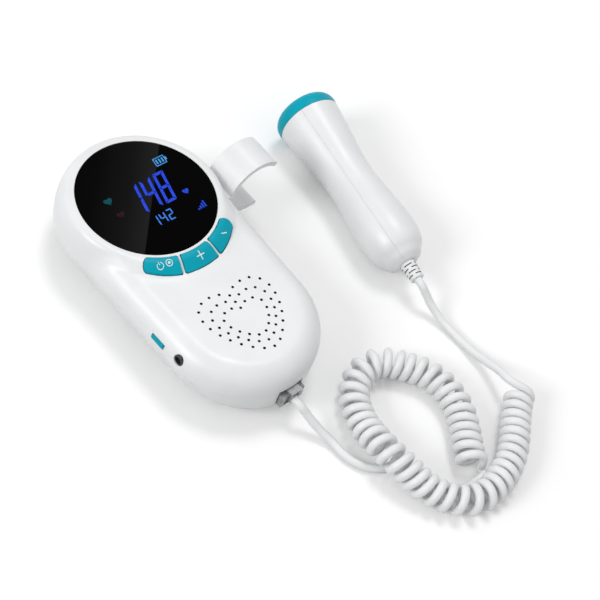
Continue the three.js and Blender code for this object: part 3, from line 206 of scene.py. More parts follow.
def probe_place():
    """The probe's own frame, from its axis towards the cord and its seam's direction. It rests on
    its cap and on the bulge of its handle."""
    bulge, bulge_at, cap_at = 0.899 * PROBE_HEAD, 66, 2.5
    tilt = asin((PROBE_HEAD - bulge) / (bulge_at + cap_at))
    heading, roll = radians(9.6), radians(35)
    axis = Vector((-sin(heading), -cos(heading), -tan(tilt))).normalized()
    seam = Vector((-sin(roll), 0, cos(roll)))
    side = seam.cross(axis).normalized()
    up = axis.cross(side)
    lift = (PROBE_HEAD - cap_at * sin(tilt)) / cos(tilt)
    return placed(side, up, axis, (103.2, 37.2, lift))


PROBE = probe_place()


def cord_line():
    """The whole cord, from the plug's collar to the probe's strain relief."""
    steps_per_turn, tail_steps, clear, tuck = 22, 60, 0.05, 0.6
    coil, (first_way, last_way) = coil_line(steps_per_turn)
    first, last = coil[0] - first_way * WIRE_FACETED, coil[-1] + last_way * WIRE_FACETED
    lead = WIRE_FACETED + FIT
    exit_, out = np.array(CORD_EXIT) / MM, np.array((0, -1, 0))
    near = [exit_, exit_ + out * lead, *UNIT_TAIL, last + last_way * lead, last]
    near = smooth_line(near, tail_steps)
    near[:, 2] = np.maximum(near[:, 2], WIRE / 2 + clear)
    sleeve_end = np.array(PROBE @ Vector((0, 0, PROBE_LENGTH + RELIEF - tuck)))
    away = np.array(PROBE.to_3x3() @ Vector((0, 0, 1)))
    far = smooth_line([sleeve_end, sleeve_end + away * lead, *PROBE_TAIL, first], tail_steps)
    return np.vstack([near, coil[::-1], far[::-1]])


# ---- materials
# Noise is given in features per metre, bump depths and edge radii in metres.

def nodes_of(name):
    """A new material, its node tree and its shader."""
    material = bpy.data.materials.new(name)
    material.use_nodes = True
    tree = material.node_tree
    return material, tree, tree.nodes["Principled BSDF"]


def put(node, **inputs):
    """Sets a node's inputs, or links them to outputs, by name with _ for a space."""
    for name, value in inputs.items():
        socket = node.inputs[name.replace("_", " ")]
        if isinstance(value, bpy.types.NodeSocket):
            node.id_data.links.new(value, socket)
        else:
            socket.default_value = value


def result(tree, kind, output, **inputs):
    """One output of a new node."""
    made = tree.nodes.new("ShaderNode" + kind)
    put(made, **inputs)
    return made.outputs[output]


def noise(tree, scale, detail=3, rough=0.5, stretch=None):
    """A noise in the object's own coordinates."""
    place = result(tree, "TexCoord", "Object")
    if stretch:
        place = result(tree, "Mapping", "Vector", Vector=place, Scale=stretch)
    return result(tree, "TexNoise", "Fac", Vector=place, Scale=scale, Detail=detail,
                  Roughness=rough)


def ramp(tree, source, stops):
    """Colours that follow a value, from (value, colour) stops."""
    r = tree.nodes.new("ShaderNodeValToRGB")
    while len(r.color_ramp.elements) < len(stops):
        r.color_ramp.elements.new(0.5)
    for element, (place, colour) in zip(r.color_ramp.elements, stops):
        element.position = place
        element.color = (*colour, 1)
    put(r, Fac=source)
    return r.outputs["Color"]


def remap(tree, source, **ends):
    """A value taken from one range to another, each from 0 to 1 unless its ends are given."""
    return result(tree, "MapRange", "Result", Value=source, **ends)


def mottle(tree, shader, source, dark, light, start=0.3, socket="Base_Color"):
    """Colour between two tones that follows a noise."""
    put(shader, **{socket: ramp(tree, source, [(start, dark), (1 - start, light)])})


def gloss(tree, shader, source, low, high):
    """Roughness between two values that follows a noise, which lies between 0.3 and 0.7."""
    put(shader, Roughness=remap(tree, source, From_Min=0.3, From_Max=0.7, To_Min=low,
                                To_Max=high))


def bump(tree, shader, source, distance, strength=1.0, edge=0.0):
    """Bump from a pattern, over edges that look rounded by a radius."""
    inputs = {}
    if edge:
        inputs["Normal"] = result(tree, "Bevel", "Normal", Radius=edge)
        inputs["Normal"].node.samples = 6
    put(shader, Normal=result(tree, "Bump", "Normal", Height=source, Strength=strength,
                              Distance=distance, **inputs))


def moulded(name, dark, light, rough=(0.32, 0.42), grain=2600, depth=4e-6, patch=60, edge=0.0,
            **sockets):
    """Moulded plastic: faint colour drift, uneven gloss, fine texture of the mould."""
    material, tree, shader = nodes_of(name)
    mottle(tree, shader, noise(tree, patch, 4), dark, light, 0.35)
    gloss(tree, shader, noise(tree, patch * 4, 3), *rough)
    bump(tree, shader, noise(tree, grain, 2, 0.6), depth, 0.6, edge)
    put(shader, **sockets)
    return material


SHELL_TONES = (0.80, 0.81, 0.82), (0.84, 0.85, 0.855)
WHITE = moulded("white_shell", *SHELL_TONES, (0.3, 0.4), edge=0.25e-3)
PLAIN_WHITE = moulded("white_plain", *SHELL_TONES, (0.3, 0.4))
TEAL = moulded("teal_shell", (0.0, 0.345, 0.455), (0.0, 0.375, 0.49), (0.28, 0.38),
               edge=0.45e-3, Specular_IOR_Level=0.12)
RUBBER = moulded("teal_rubber", (0.0, 0.33, 0.44), (0.004, 0.36, 0.48), (0.5, 0.62), 3200, 8e-6,
                 edge=0.3e-3, Specular_IOR_Level=0.12)
# Painted shade: near-black on the walls of the grille's holes, where shadow falls.
HOLE_PAINTED_SHADE = moulded("hole_painted_shade", (0.03, 0.03, 0.032), (0.05, 0.05, 0.052), (0.6, 0.7))
# Painted shade: grey on the walls and floors of the sleeve's slots, where shadow falls.
SLOT_PAINTED_SHADE = moulded("slot_painted_shade", (0.24, 0.24, 0.245), (0.3, 0.3, 0.305), (0.5, 0.6))
CORD = moulded("white_cord", (0.80, 0.81, 0.82), (0.85, 0.855, 0.86), (0.34, 0.46), 1800, 6e-6)
SOFT_WHITE = moulded("white_soft", (0.78, 0.79, 0.80), (0.83, 0.835, 0.84), (0.42, 0.52),
                     1800, 8e-6, edge=0.2e-3)
BLACK = moulded("black_plastic", (0.012, 0.012, 0.014), (0.022, 0.022, 0.025), (0.4, 0.55),
                edge=0.15e-3)
BOARD = moulded("solder_mask", (0.006, 0.07, 0.025), (0.012, 0.12, 0.045), (0.28, 0.42),
                900, 2e-5, 260)
DIFFUSER = moulded("diffuser", (0.72, 0.75, 0.78), (0.78, 0.80, 0.83), (0.5, 0.6))
PANEL = moulded("display_panel_dark", (0.01, 0.012, 0.03), (0.018, 0.02, 0.045), (0.15, 0.25))
CERAMIC = moulded("ceramic", (0.55, 0.50, 0.36), (0.66, 0.61, 0.45), (0.5, 0.65),
                  5200, 1.5e-5, 900)


def metal(name, dark, light, rough, stretch, depth=3e-6):
    """Metal whose grain is stretched along one axis."""
    material, tree, shader = nodes_of(name)
    brushed = noise(tree, 900, 4, 0.6, stretch)
    mottle(tree, shader, brushed, dark, light)
    gloss(tree, shader, brushed, *rough)
    bump(tree, shader, brushed, depth, 0.7)
    put(shader, Metallic=1.0)
    return material


STEEL = metal("plated_steel", (0.48, 0.49, 0.5), (0.62, 0.63, 0.64), (0.22, 0.36), (1, 0.15, 1))
FOIL = metal("battery_foil", (0.5, 0.52, 0.54), (0.66, 0.68, 0.70), (0.35, 0.5), (0.2, 1, 1), 2e-5)


def lens_material():
    """Near-black tinted lens. A painted reflection, a pale sheen with a straight edge in the base
    colour, crosses its left half.
    """
    material, tree, shader = nodes_of("black_lens_painted_sheen")
    across = tree.nodes.new("ShaderNodeVectorMath")
    across.operation = "DOT_PRODUCT"
    n = unit(np.array((-1.037, 1.0)))
    across.inputs[1].default_value = (n[0], n[1], 0)
    tree.links.new(result(tree, "TexCoord", "Object"), across.inputs[0])
    painted_sheen_start = (0.0, (Y_DISPLAY - 3.4) * MM)
    edge = float(n @ np.array(painted_sheen_start))
    before, width = 0.002, 0.038
    share = remap(tree, across.outputs["Value"], From_Min=edge - before, From_Max=edge + width)
    # Painted reflection: pale greys in the base colour along a band with a sharp edge.
    black = (0.0003, 0.0003, 0.0004)
    stops = [(0.0, black), (0.046, black), (0.056, (0.014,) * 3), (0.3, (0.006,) * 3),
             (0.65, (0.0012,) * 3), (1.0, black)]
    put(shader, Base_Color=ramp(tree, share, stops))
    gloss(tree, shader, noise(tree, 300, 4), 0.05, 0.1)
    bump(tree, shader, noise(tree, 90, 2), 2e-6, 0.3, 0.2e-3)
    put(shader, Specular_IOR_Level=0.02)
    return material


LENS = lens_material()


def lit(name, dark, light, strength):
    """Lit segments of the display, with the slight unevenness of a backlight."""
    material, tree, shader = nodes_of(name)
    mottle(tree, shader, noise(tree, 700, 3), dark, light, socket="Emission_Color")
    put(shader, Emission_Strength=strength, Specular_IOR_Level=0.05)
    mottle(tree, shader, noise(tree, 500, 2), (0.001, 0.001, 0.004), (0.002, 0.002, 0.006))
    gloss(tree, shader, noise(tree, 800, 2), 0.35, 0.5)
    return material


BLUE = lit("lit_blue", (0.01, 0.05, 0.62), (0.025, 0.08, 0.82), 0.95)
PALE_BLUE = lit("lit_pale_blue", (0.04, 0.2, 0.9), (0.08, 0.33, 1.0), 0.85)
CYAN = lit("lit_cyan", (0.06, 0.33, 0.8), (0.12, 0.45, 0.95), 0.8)
DIM_TEAL = lit("lit_dim_teal", (0.0, 0.07, 0.085), (0.0, 0.1, 0.12), 0.8)
DIM_RED = lit("lit_dim_red", (0.02, 0.001, 0.002), (0.035, 0.002, 0.003), 0.7)


def ink_material():
    """Pale print on the keys."""
    material, tree, shader = nodes_of("white_print")
    mottle(tree, shader, noise(tree, 1500, 3), (0.74, 0.8, 0.82), (0.86, 0.9, 0.92))
    gloss(tree, shader, noise(tree, 900, 2), 0.45, 0.6)
    return material


INK = ink_material()


def plug_material():
    """Clear smoke-grey polycarbonate of the modular plug."""
    material, tree, shader = nodes_of("plug_clear")
    mottle(tree, shader, noise(tree, 220, 3), (0.34, 0.35, 0.36), (0.6, 0.61, 0.62))
    gloss(tree, shader, noise(tree, 500, 3), 0.12, 0.24)
    bump(tree, shader, noise(tree, 400, 2), 2e-5, 0.4, 0.2e-3)
    put(shader, Transmission_Weight=0.45)
    return material


PLUG = plug_material()

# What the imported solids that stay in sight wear
BY_SLOT = {
    "shell_white": PLAIN_WHITE, "lens_black": LENS, "panel_black": PANEL,
    "diffuser_white": DIFFUSER, "board_green": BOARD, "accent_teal": TEAL,
    "rubber_teal": RUBBER, "plastic_black": BLACK, "steel": STEEL, "battery_silver": FOIL,
    "ceramic": CERAMIC, "cord_white": CORD, "plug_grey": PLUG,
}
for row in frame["record"]["subparts"]:
    for holder in frame["nodes"][row["node"]].material_slots:
        holder.material = BY_SLOT[row["material_slot"]]


# ---- solids, in millimetres

def solid(points, faces, name="solid"):
    mesh = bpy.data.meshes.new(name)
    mesh.from_pydata([tuple(p) for p in points], [], [tuple(f) for f in faces])
    mesh.update()
    return into_scene(name, mesh)


def arc(angles, radius, x=0, y=0):
    """Points round a centre."""
    return [(x + radius * cos(a), y + radius * sin(a)) for a in angles]


def ring_faces(rings, count):
    """Four-sided faces between rings of points that follow each other in a list."""
    faces = []
    for k in range(rings - 1):
        for i in range(count):
            j = (i + 1) % count
            faces.append((k * count + i, k * count + j, (k + 1) * count + j, (k + 1) * count + i))
    return faces


def lofts(stacks):
    """Separate closed solids in one mesh, each through rings that go anticlockwise seen from
    above, from low to high."""
    points, faces = [], []
    for rings in stacks:
        base, count = len(points), len(rings[0])
        last = (len(rings) - 1) * count
        points += [p for ring in rings for p in ring]
        forms = ring_faces(len(rings), count)
        forms += [range(count - 1, -1, -1), range(last, last + count)]
        faces += [[base + i for i in form] for form in forms]
    return solid(points, faces)


def loft(rings):
    return lofts([rings])


def revolve(profile, sides=96, x=0, y=0):
    """A closed solid round an upright axis. Its (radius, z) profile starts and ends on that."""
    points = []
    inner = profile[1:-1]
    for radius, z in inner:
        points += [(*p, z) for p in arc((2 * pi * i / sides for i in range(sides)), radius, x, y)]
    faces = ring_faces(len(inner), sides)
    low, high = len(points), len(points) + 1
    points += [(x, y, profile[0][1]), (x, y, profile[-1][1])]
    top = (len(inner) - 1) * sides
    for i in range(sides):
        j = (i + 1) % sides
        faces.append((low, j, i))
        faces.append((high, top + i, top + j))
    return solid(points, faces)


def post(radius, x, y, z0, z1, sides=32):
    """An upright cylinder."""
    return revolve([(0, z0), (radius, z0), (radius, z1), (0, z1)], sides, x, y)


def turned(made, axis, angle, place):
    """Turns a solid about an axis and then moves it."""
    made.data.transform(Matrix.Translation(place) @ Matrix.Rotation(angle, 4, axis))
    return made


def pin(radius, x0, x1, y, z, sides=40):
    """A cylinder along X."""
    return turned(post(radius, 0, 0, x0, x1, sides), "Y", pi / 2, (0, y, z))


def rod(radius, x, z, y0, y1, sides=96):
    """A cylinder along Y."""
    return turned(post(radius, 0, 0, y0, y1, sides), "X", -pi / 2, (x, 0, z))


def at_heights(ring, z0, z1):
    return [[(x, y, z) for x, y in ring] for z in (z0, z1)]


def prism(ring, z0, z1):
    return loft(at_heights(ring, z0, z1))


def block(x0, x1, y0, y1, z0, z1):
    return prism([(x0, y0), (x1, y0), (x1, y1), (x0, y1)], z0, z1)


def shape(base, *steps):
    """Applies (operation, tool) steps to a solid, and removes the tools."""
    for operation, tool in steps:
        modifier = base.modifiers.new("cut", "BOOLEAN")
        modifier.operation = operation
        modifier.object = tool
        modifier.solver = "MANIFOLD"
    bpy.context.view_layer.update()
    graph = bpy.context.evaluated_depsgraph_get()
    mesh = bpy.data.meshes.new_from_object(base.evaluated_get(graph))
    base.modifiers.clear()
    base.data = mesh
    for _, tool in steps:
        bpy.data.objects.remove(tool)
    return base


def cut(base, *tools):
    return shape(base, *[("DIFFERENCE", t) for t in tools])


def add(base, *tools):
    return shape(base, *[("UNION", t) for t in tools])


def piece(made, name, material, nodes=(), body="unit", angle=35, place=None):
    """Turns a solid in millimetres into a named piece in the frame's metres."""
    if place is not None:
        made.data.transform(place)
    made.data.transform(Matrix.Scale(MM, 4))
    made.name = made.data.name = name
    made.data.materials.clear()
    made.data.materials.append(material)
    made.data.shade_smooth()
    made.data.set_sharp_from_angle(angle=radians(angle))
    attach(made, body)
    if nodes:
        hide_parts(*nodes)
    return made


# ---- cord piece

def cord_piece():
    line = cord_line() * MM
    curve = bpy.data.curves.new("cord", "CURVE")
    curve.dimensions = "3D"
    spline = curve.splines.new("POLY")
    spline.points.add(len(line) - 1)
    spline.points.foreach_set("co", np.c_[line, np.ones(len(line))].ravel())
    spline.use_smooth = True
    curve.bevel_depth = WIRE / 2 * MM
    curve.bevel_resolution = 4
    curve.use_fill_caps = True
    curve.materials.append(CORD)
    return into_scene("cord", curve)


cord = cord_piece()
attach(cord, "unit")
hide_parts("cord_unit_tail", "curly_cord", "cord_probe_tail")


# ---- housing forms

def outline(inset, z, end=None, bend=56, straight=84):
    """The plan outline, from the middle of the display's end round the west side, drawn in by an
    inset that may differ at the two ends."""
    shift = 0 if end is None else inset - end
    lean = asin((R_SPEAKER - R_DISPLAY) / (Y_DISPLAY - Y_SPEAKER + 2 * shift))
    t = np.linspace(0, 1, bend + 1)   # along each of the two round ends
    north = arc(pi / 2 + (pi / 2 - lean) * t, R_DISPLAY - inset, 0, Y_DISPLAY + shift)
    south = arc(pi - lean + (pi / 2 + lean) * t, R_SPEAKER - inset, 0, Y_SPEAKER - shift)
    pts = np.vstack([north, np.linspace(north[-1], south[0], straight + 1)[1:-1], south])
    pts[0, 0] = pts[-1, 0] = 0
    east = pts[-2:0:-1] * (-1, 1)
    both = np.vstack([pts, east])
    return np.c_[both, np.full(len(both), float(z))]


def low_rings(depth, steps=24):
    """The hull-shaped lower half: inset at the sides, height and inset at the ends."""
    out = []
    for i in range(steps + 1):
        fall = cos(pi / 2 * i / steps)
        z = PARTING - (PARTING - depth) * fall
        side = HULL - (HULL - depth) * sqrt(max(0, 1 - fall**HULL_POWER))
        drop = min(1, max(0, (R_LOW - z) / (R_LOW - depth)))
        out.append((side, z, R_LOW - (R_LOW - depth) * sqrt(1 - drop**2)))
    return out


def up_rings(depth, steps=20):
    """The rounded upper edge: inset and height."""
    out = []
    for i in range(steps, -1, -1):
        a = pi / 2 * i / steps
        r = R_UP - depth
        out.append((R_UP - r * sin(a), TOP - R_UP + r * cos(a)))
    return out


def stack(places, bend=56, straight=84):
    """A solid through plan outlines at (inset, height) or (inset, height, inset at the ends)."""
    return loft([outline(*p, bend=bend, straight=straight) for p in places])


def pod_profile(share, t):
    """Radius and height of the pod's surface. share is how far its skirt widens there."""
    a = pi / 2 * t
    fall = t * t * (3 - 2 * t)
    r = RIM + share * SKIRT * t + (1 - share) * SIDE * np.sin(a)
    z = POD_TOP - share * SKIRT_DROP * fall - (1 - share) * SIDE_DROP * (1 - np.cos(a))
    return r, z


def flare_share(angle):
    """1 under the buttons, 0 round the rest of the pod."""
    full, fade = 44, 22
    off = np.abs((np.degrees(angle) + 90 + 180) % 360 - 180)
    t = np.clip((off - full) / fade, 0, 1)
    return 1 - t * t * (3 - 2 * t)


def pod_distance(p):
    """Signed distance of points to the pod, near enough close to its surface."""
    x, y, z = p[:, 0], p[:, 1] - Y_DISPLAY, p[:, 2]
    r = np.hypot(x, y)
    share = flare_share(np.arctan2(y, x))
    corners = [(np.zeros_like(r), np.full_like(r, POD_TOP))]
    for t in np.linspace(0, 1, 15):
        corners.append(pod_profile(share, t))
    corners.append((corners[-1][0], np.full_like(r, -20.0)))
    best = np.full_like(r, 1e9)
    roof = np.full_like(r, -1e9)
    for (r0, z0), (r1, z1) in zip(corners[:-1], corners[1:]):
        dr, dz = r1 - r0, z1 - z0
        s = np.clip(((r - r0) * dr + (z - z0) * dz) / (dr * dr + dz * dz + 1e-12), 0, 1)
        best = np.minimum(best, np.hypot(r - r0 - s * dr, z - z0 - s * dz))
        inside = (r >= r0) & (r <= r1) & (r1 > r0)
        level = z0 + dz * np.where(dr > 1e-9, (r - r0) / np.maximum(dr, 1e-9), 0)
        roof = np.where(inside, level, roof)
    return np.where(z < roof, -best, best)


def top_form():
    """The upper housing's outside: the rounded body with the pod blended into it. Each point of
    the body is pushed out along its normal as far as the pod, and the push is then softened."""
    reach, rounds, level_rows = 13.0, 26, 3
    places = [(0, PARTING + SEAM / 2), (0, 18.6), (0, 19.1), (0, 19.6)]
    places += up_rings(0, 22)
    places += [(inset, TOP) for inset in np.arange(10.7, 34.3, 0.7)]
    rings = [outline(inset, z) for inset, z in places]
    count = len(rings[0])
    grid = np.array(rings)
    normal = np.zeros_like(grid)
    plan = unit(outline(0, 0) - outline(1, 0))
    for k, (inset, _) in enumerate(places):
        a = acos(max(0, R_UP - inset) / R_UP)
        normal[k] = plan * cos(a) + np.array((0, 0, sin(a)))
    flat, n = grid.reshape(-1, 3), normal.reshape(-1, 3)
    far = np.full(len(flat), reach)
    for _ in range(rounds):
        far = np.maximum(far - pod_distance(flat + n * far[:, None]), 0)
    push = far.reshape(grid.shape[:2])
    push[:level_rows] = 0
    soft = push.copy()
    for _ in range(rounds):
        wide = np.roll(soft, 1, 1) + np.roll(soft, -1, 1)
        deep = np.vstack([soft[:1], soft[:-1]]) + np.vstack([soft[1:], soft[-1:]])
        soft = soft * 0.2 + (wide + deep) * 0.2
    r = np.hypot(grid[..., 0], grid[..., 1] - Y_DISPLAY)
    rim, key_edge = 32.4, 39.3
    blend = np.clip((r - rim) / 1.6, 0, 1)
    share = flare_share(np.arctan2(grid[..., 1] - Y_DISPLAY, grid[..., 0]))
    blend *= 1 - share * np.clip((key_edge - r) / 0.8, 0, 1)
    push = push + (soft - push) * blend
    grid = grid + normal * push[..., None]
    faces = ring_faces(len(places), count)
    faces.append(tuple(range(count - 1, -1, -1)))
    last, half = (len(places) - 1) * count, count // 2
    for j in range(half):
        a, b, c, d = j, j + 1, count - j - 1, (count - j) % count
        faces.append(tuple(last + k for k in dict.fromkeys((a, b, c, d))))
    return solid(grid.reshape(-1, 3), faces)


def pod_form(grow):
    """The pod as a solid, with a surface that stands proud by grow."""
    steps, sides = 14, 144
    angles = np.arange(sides) * 2 * pi / sides
    share = flare_share(angles)
    profile = [(np.full(sides, RIM), np.full(sides, PARTING + 1.5))]
    for t in np.linspace(1, 0, steps):
        profile.append(tuple(v + grow for v in pod_profile(share, t)))
    return loft([np.c_[r * np.cos(angles), Y_DISPLAY + r * np.sin(angles), z + np.zeros(sides)]
                 for r, z in profile])


# Each key's two ends, in degrees from the south, and how far each end bulges
BUTTONS = {
    "power": (-36.7, -15, 3.2, 0),
    "plus": (-12.5, 12.5, 0, 0),
    "minus": (15, 36.7, 0, 3.2),
}


def button_outline(start, stop, bulge0, bulge1, grow=0.0):
    """A key's outline, an arc round the display with rounded corners."""
    inner, middle_outer, taper = 31.4 - grow, 39, 1.6
    taper_from, taper_over, corner = 15, 21.7, 0.9
    turn = degrees(grow / middle_outer)
    a0, a1 = start - turn, stop + turn

    def outer(a):
        return middle_outer + grow - taper * (max(abs(a), taper_from) - taper_from) / taper_over

    def end(a, bulge, k):
        return inner + (outer(a) - inner) * (1 + cos(k)) / 2, a + bulge * sin(k)

    raw = [(outer(a), a) for a in np.linspace(a0, a1, 26)]
    raw += [end(a1, bulge1, k) for k in np.linspace(0, pi, 14)[1:-1]]
    raw += [(inner, a) for a in np.linspace(a1, a0, 26)]
    raw += [end(a0, -bulge0, k) for k in np.linspace(pi, 0, 14)[1:-1]]
    pts = []
    for r, a in raw:
        pts.append((r * sin(radians(a)), Y_DISPLAY - r * cos(radians(a))))
    return round_corners(np.array(pts), corner)


def round_corners(pts, radius):
    """The outline with each sharp corner cut back to an arc."""
    sharp, least = radians(40), 0.02
    out, count = [], len(pts)
    for i in range(count):
        p, a, b = pts[i], pts[i - 1], pts[(i + 1) % count]
        u, v = unit(a - p), unit(b - p)
        bend = pi - acos(max(-1, min(1, float(u @ v))))
        if bend < sharp:
            out.append(p)
            continue
        reach = min(radius * tan(bend / 2), radius * 1.2)
        s, e = p + u * reach, p + v * reach
        for k in np.linspace(0, 1, 6):
            out.append((1 - k)**2 * s + 2 * k * (1 - k) * p + k * k * e)
    kept = [out[0]]
    for q in out[1:]:
        if np.linalg.norm(q - kept[-1]) > least:
            kept.append(q)
    return [tuple(q) for q in kept]


HEART, HEART_Y, HEART_MIDDLE = 17.62, -35.2, -39
# Holes in each nested heart, with its width and height as shares of the largest
HEARTS = ((24, 1, 1), (20, 0.795, 0.744), (15, 0.57, 0.505))
HOLE_R, HOLE_SIDES = 0.62, 16


def heart_point(t, wide, tall):
    x = HEART * sin(t)**3
    y = HEART_Y + HEART * (0.99 * cos(t) - 0.262 * cos(2 * t)
                           - 0.177 * cos(3 * t) + 0.044 * cos(4 * t))
    return x * wide, HEART_MIDDLE + (y - HEART_MIDDLE) * tall


def grille_places():
    """The middles of the grille's holes, evenly spaced along each heart."""
    places = []
    for holes, wide, tall in HEARTS:
        line = np.array([heart_point(2 * pi * i / 720, wide, tall) for i in range(721)])
        run = run_of(line)
        for k in range(holes):
            at = int(np.argmax(run >= run[-1] * k / holes))
            places.append(line[at])
    return np.array(places)


def grille_pins():
    """The grille's holes as one tool."""
    angles = np.arange(HOLE_SIDES) * 2 * pi / HOLE_SIDES
    return lofts([at_heights(arc(angles, HOLE_R, x, y), 25.5, 31.5) for x, y in grille_places()])


def shade_faces(made, material, chosen, place=None):
    """A second material on the faces that are chosen by their centres and normals, which are in
    millimetres and in the frame of place."""
    polygons = made.data.polygons
    centre, normal = np.empty(len(polygons) * 3), np.empty(len(polygons) * 3)
    polygons.foreach_get("center", centre)
    polygons.foreach_get("normal", normal)
    centre, normal = centre.reshape(-1, 3) / MM, normal.reshape(-1, 3)
    if place is not None:
        back = np.array(place.inverted())
        centre, normal = centre @ back[:3, :3].T + back[:3, 3], normal @ back[:3, :3].T
    made.data.materials.append(material)
    polygons.foreach_set("material_index", chosen(centre, normal).astype(np.int32))


def side_x(y):
    """How far the housing's straight side is from the middle plane."""
    return (R_DISPLAY + (Y_DISPLAY - y) * sin(LEAN)) / cos(LEAN)


def scoop():
    """The shallow dish round the cord socket, as an ellipsoid."""
    half, depth = (11, 3, 6.5), 1.2
    angles = np.linspace(0, pi, 18)[1:-1]
    made = revolve([(0, -1)] + [(sin(a), -cos(a)) for a in angles] + [(0, 1)], 48)
    made.data.transform(Matrix.Translation((PLUG_X, -END + depth - half[1], 13))
                        @ Matrix.Diagonal((*half, 1)))
    return made


def socket_tools():
    """The plug's opening, the dish round it, and the room for the socket behind."""
    return [block(-5.5, 7.5, -END - 2, -END + 2.3, 8.6, 18), scoop(),
            block(-6.8, 8.8, -END + 2, -END + 15.6, 6.6, 19.1)]


def upper_shell():
    lip, lip_top = 0.9, 19.8
    hollow = stack([(lip, 16), (lip, lip_top), (WALL, lip_top)] + up_rings(WALL, 10), 28, 10)
    foot, neck, roof, fall = R_DISPLAY - WALL, 30.1, 29.7, 9
    profile = [(0, PARTING), (foot, PARTING)]
    for a in np.linspace(pi / 2, 0, 9):
        profile.append((neck + (foot - neck) * sin(a), roof - fall * (1 - cos(a))))
    profile.append((0, roof))
    west, jack = -side_x(PORT_Y), -side_x(JACK_Y)
    made = cut(top_form(), hollow, revolve(profile, 72, 0, Y_DISPLAY))
    seat = cut(post(18.7, 0, -37, 24, 29, 56), post(17.3, 0, -37, 22, 28, 56))
    bosses = [post(3.25, x, y, 12.65, 30.4 if y > 0 else 29, 24) for x, y in SCREWS]
    made = add(made, seat, *bosses)
    tools = [post(1.55, x, y, 10.5, 23, 24) for x, y in SCREWS]
    tools += [prism(button_outline(*b, grow=FIT), 26, 35) for b in BUTTONS.values()]
    tools += [post(LENS_R + 0.12, 0, Y_DISPLAY, 31.2, 35, 160),
              post(28, 0, Y_DISPLAY, FLANGE_TOP, 35, 96)]
    tools += [block(west - 2, west + 1.5, -27.1, -19.5, 20.8, 23.4),
              block(west - 2, west + 4, -26.65, -19.95, 21.25, 22.95),
              block(west + WALL, west + WALL + 6.2, -27.35, -19.25, 20.5, 23.7),
              pin(2.42, jack - 2, jack + 4, JACK_Y, JACK_Z),
              block(jack + 3.5, jack + 15.3, -38.8, -31.8, 20.5, 26.1)]
    tools += [pin(2.3, side_x(y) - 4, side_x(y) + 2, y, HOLDER_PIN_Z, 24) for y in HOLDER_PINS]
    tools += socket_tools() + [grille_pins()]
    return cut(made, *tools)


def door_zone(clear):
    """The part of the underside that the battery door takes up, less a clearance."""
    x, y0, z1 = DOOR_X - clear, DOOR_Y + clear, 11.3 - clear
    return block(-x, x, y0, END + 2, -2, z1)


def low_form(grow=0.0):
    return stack(low_rings(-grow)[:-1] + [(-grow, PARTING - SEAM / 2)])


def low_hollow(depth):
    return stack(low_rings(depth, 16) + [(depth, 21.5)], 40, 20)


def both_sides(x0, x1, *rest):
    """A block on the east side and its mirror image on the west."""
    return [block(*sorted((side * x0, side * x1)), *rest) for side in (-1, 1)]


def door_pockets():
    """Grooves for the door's tabs, and the notches through which they lift out."""
    made = []
    for start in TAB_STARTS:
        made += both_sides(14.5, 17.9, start - FIT, start + 13.3, 3.2, 5)
        made += both_sides(14.5, 17.9, start + 7.7, start + 13.3, -2, 5)
    return made


def lower_shell():
    lip, bay_end, bay_top = 1.2, 54, 15.7
    made = cut(add(low_form(), stack([(lip, 16), (lip, 19.5)])), low_hollow(WALL))
    bay = cut(block(-BAY, BAY, DOOR_Y - WALL, bay_end, 0, bay_top),
              block(-DOOR_X, DOOR_X, DOOR_Y, bay_end + WALL, -2, 14.2))
    inner = [block(-BAY, BAY, bay_end, bay_end + WALL, 2.3, bay_top),
             block(-5.5, 7.5, -END + 6, -END + 15.3, 1, 6.6)]
    inner += [post(4.5, x, y, 0, 12.35, 28) for x, y in SCREWS]
    inner = shape(add(bay, *inner), ("INTERSECT", low_form()))
    door_space = shape(cut(low_form(2), low_hollow(WALL + FIT)), ("INTERSECT", door_zone(0)))
    wells = []
    for x, y in SCREWS:
        wells += [post(2.8, x, y, -2, 7.7, 28), post(1.55, x, y, 0, 14.5, 20)]
    return cut(add(made, inner), door_space, *door_pockets(), *wells, *socket_tools())


def battery_door():
    made = shape(cut(low_form(), low_hollow(WALL)), ("INTERSECT", door_zone(FIT)))
    tabs = []
    for start in TAB_STARTS:
        tabs += both_sides(14.7, 17.6, start, start + 5, 3.5, 4.7)
        tabs += both_sides(14.7, 16.2, start, start + 5, 2.2, 4.7)
    grips = [block(-8, 8, 10.5 + 2.4 * k, 11.6 + 2.4 * k, -2, 0.5) for k in range(1, 5)]
    return cut(add(made, *tabs), *grips)


def in_grille(centre, normal):
    """The walls of the grille's holes, which wear painted shade."""
    away = np.linalg.norm(centre[:, None, :2] - grille_places()[None], axis=2).min(axis=1)
    return (away < HOLE_R + 0.08) & (centre[:, 2] > 27) & (np.abs(normal[:, 2]) < 0.5)


top_shell = piece(upper_shell(), "shell_upper", WHITE, ["upper_shell"], angle=28)
shade_faces(top_shell, HOLE_PAINTED_SHADE, in_grille)
piece(lower_shell(), "shell_lower", WHITE, ["lower_shell"], angle=28)
piece(battery_door(), "door_battery", WHITE, ["battery_door"], "battery_lid", 28)


# ---- display and keys

lens = revolve([(0, 31.5), (LENS_R, 31.5), (LENS_R, 32.8), (LENS_R - 0.06, 32.92),
                (LENS_R - 0.2, POD_TOP), (0, POD_TOP)], 160, 0, Y_DISPLAY)
piece(lens, "lens_display", LENS, ["display_lens"], angle=10)

